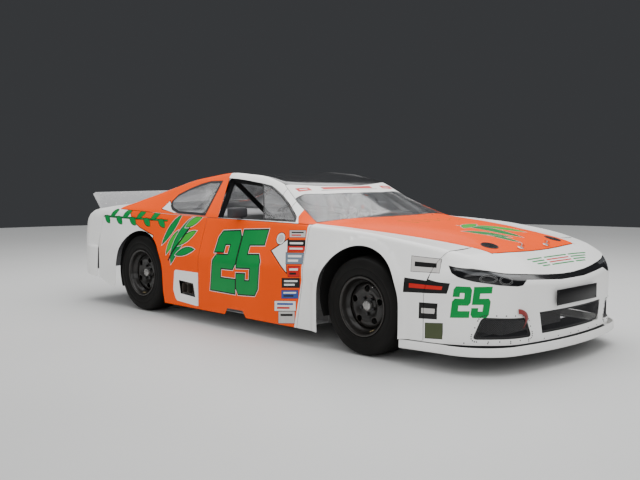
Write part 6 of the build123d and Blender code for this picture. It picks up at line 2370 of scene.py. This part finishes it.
class STOCKCAR_OT_cabin(bpy.types.Operator):
    """Make the instruments, pedals and gear lever, and finish the cage, frame and running gear"""
    bl_idname = "stockcar.cabin"
    bl_label = "Cabin and Frame"

    def execute(self, context):
        finishes = {
            "chassis_frame": frame_steel(), "front_clip": frame_steel(), "control_arms": frame_steel(),
            "door_bars": cage_padding(), "roll_cage": cage_padding(), "main_hoop": cage_padding(),
            "rear_axle": cast_iron(), "knuckle_left": cast_iron(), "knuckle_right": cast_iron(),
            "engine_block": cast_iron(), "radiator": sheet_metal(), "fuel_cell": black_plastic(),
            "floor_and_bulkheads": grey_panel(), "dashboard": grey_panel()}
        for name, material in finishes.items():
            piece = bpy.data.objects[name]
            if not piece.material_slots:
                piece.data.materials.append(material)
            for slot in piece.material_slots:
                slot.material = material

        panel, steel = black_plastic(), bright_fastener()
        screen = finish_of("display_screen", (0.010, 0.014, 0.016), rough=0.10, dust=0.05, vary=0.2, scuffs=0.05)
        parts = [bevelled_block("display_case", (0.500, 0.245, 0.712), (0.5195, 0.415, 0.802), panel, 0.004),
                 bevelled_block("display_face", (0.4975, 0.256, 0.722), (0.501, 0.404, 0.792), screen, 0.001),
                 bevelled_block("switch_plate", (0.514, -0.020, 0.700), (0.5195, 0.190, 0.790), panel, 0.002)]
        toggles = [(0.512, y, z) for y in (0.015, 0.055, 0.095, 0.135, 0.170) for z in (0.727, 0.765)]
        parts.append(fasteners("toggle_collars", toggles, [(-1, 0, 0)] * len(toggles), steel, 0.008, 0.005))
        parts += [pipe("toggle", [(x, y, z), (x - 0.020, y, z + 0.006)], 0.0026, steel, 8) for x, y, z in toggles]
        place(join(parts, "dash_instruments"), "body", "black_plastic")

        lever = finish_of("lever_steel", (0.10, 0.10, 0.105), rough=0.35, metallic=0.8, dust=0.1)
        knob = revolve("knob", [(0, 0.026), (0.013, 0.023), (0.022, 0.012), (0.025, 0), (0.022, -0.012),
                                (0.012, -0.022), (0, -0.024)], [panel], 28, closed=False)
        parts = [pipe("gear_lever", [(0.260, 0.030, 0.135), (0.262, 0.032, 0.330), (0.235, 0.055, 0.500)], 0.009,
                      lever), shift(knob, Matrix.Translation((0.233, 0.057, 0.512)) @ Matrix.Rotation(
                          math.pi / 2, 4, "X")),
                 bevelled_block("gear_gate", (0.190, -0.030, 0.131), (0.330, 0.090, 0.150), panel, 0.006)]
        for y in (0.230, 0.330, 0.430):
            parts += [pipe("pedal_arm", [(0.700, y, 0.560), (0.672, y, 0.420), (0.640, y, 0.270)], 0.008, lever),
                      bevelled_block("pedal_pad", (0.622, y - 0.032, 0.222), (0.632, y + 0.032, 0.300), steel, 0.003,
                                     turn=Matrix.Rotation(math.radians(18), 3, "Y"))]
        parts.append(bevelled_block("pedal_hanger", (0.685, 0.200, 0.552), (0.735, 0.460, 0.578), lever, 0.003))
        place(join(parts, "pedals_and_lever"), "body", "axle_steel")

        liner = finish_of("wheel_tub_black", (0.012, 0.012, 0.012), rough=0.8, dust=0.3, dust_height=0.9,
                          dust_colour=(0.05, 0.045, 0.04), fine=200.0, fine_share=0.7, relief=0.002, strength=0.5,
                          specular=0.2)
        tubs = []
        for (x, z), reach, wall_z, y_out in ((FRONT_ARCH, 0.440, 0.520, 0.880), (REAR_ARCH, 0.402, 0.470, 0.895)):
            ends = math.radians(-24)
            angles = np.linspace(ends, math.pi - ends, 44)
            for sign in (-1, 1):
                vertices = []
                for t in angles:
                    at = (x + reach * math.cos(t), z + 0.402 * math.sin(t))
                    deep = (x + (reach + 0.003) * math.cos(t), z + 0.405 * math.sin(t))
                    for (px, pz), y in ((at, 0.480), (at, y_out), (deep, y_out), (deep, 0.480)):
                        vertices.append((px, sign * y, pz))
                rise = math.asin((wall_z - z) / 0.402)
                wall = [(x + reach * math.cos(t), z + 0.402 * math.sin(t))
                        for t in np.linspace(rise, math.pi - rise, 30)]
                tubs += [bar_of("tub_band", vertices, 4, liner, 40),
                         side_plate("tub_wall", wall, sign * 0.477, sign * 0.480, liner, 0.0005, 0.001)]
        place(join(tubs, "wheel_tubs"), "body", "black_plastic")
        return {"FINISHED"}


# ---- panel and registration ----------------------------------------------------------------------
OPERATORS = [STOCKCAR_OT_stage, STOCKCAR_OT_hood, STOCKCAR_OT_roof, STOCKCAR_OT_glass, STOCKCAR_OT_fenders,
             STOCKCAR_OT_doors, STOCKCAR_OT_quarters, STOCKCAR_OT_nose, STOCKCAR_OT_tail, STOCKCAR_OT_aero,
             STOCKCAR_OT_mirrors, STOCKCAR_OT_wheels, STOCKCAR_OT_seat, STOCKCAR_OT_steering_wheel,
             STOCKCAR_OT_cabin]


class STOCKCAR_PT_sidebar(bpy.types.Panel):
    """Lists the sizes, the colours and the pieces of the stock car"""
    bl_idname = "STOCKCAR_PT_sidebar"
    bl_label = "Stock Car"
    bl_space_type = "VIEW_3D"
    bl_region_type = "UI"
    bl_category = "Stock Car"

    def draw(self, context):
        for name in SETTINGS:
            box = self.layout.box()
            settings = getattr(context.scene, name)
            for key in settings.bl_rna.properties.keys():
                if key not in {"rna_type", "name"}:
                    box.prop(settings, key)
        for operator in OPERATORS:
            self.layout.operator(operator.bl_idname)


SETTINGS = {"stock_car_paint": StockCarPaint, "stock_car_panels": StockCarPanels,
            "stock_car_wheels": StockCarWheels, "stock_car_trim": StockCarTrim,
            "stock_car_stage": StockCarStage}
CLASSES = [*SETTINGS.values(), *OPERATORS, STOCKCAR_PT_sidebar]


def register():
    for item in CLASSES:
        bpy.utils.register_class(item)
    for name, group in SETTINGS.items():
        setattr(bpy.types.Scene, name, PointerProperty(type=group))


def unregister():
    for name in SETTINGS:
        delattr(bpy.types.Scene, name)
    for item in reversed(CLASSES):
        bpy.utils.unregister_class(item)


def main():
    register()
    for operator in OPERATORS:
        group, name = operator.bl_idname.split(".")
        if getattr(getattr(bpy.ops, group), name)() != {"FINISHED"}:
            raise RuntimeError(f"{operator.bl_label} was not made")


if __name__ == "__main__":
    main()
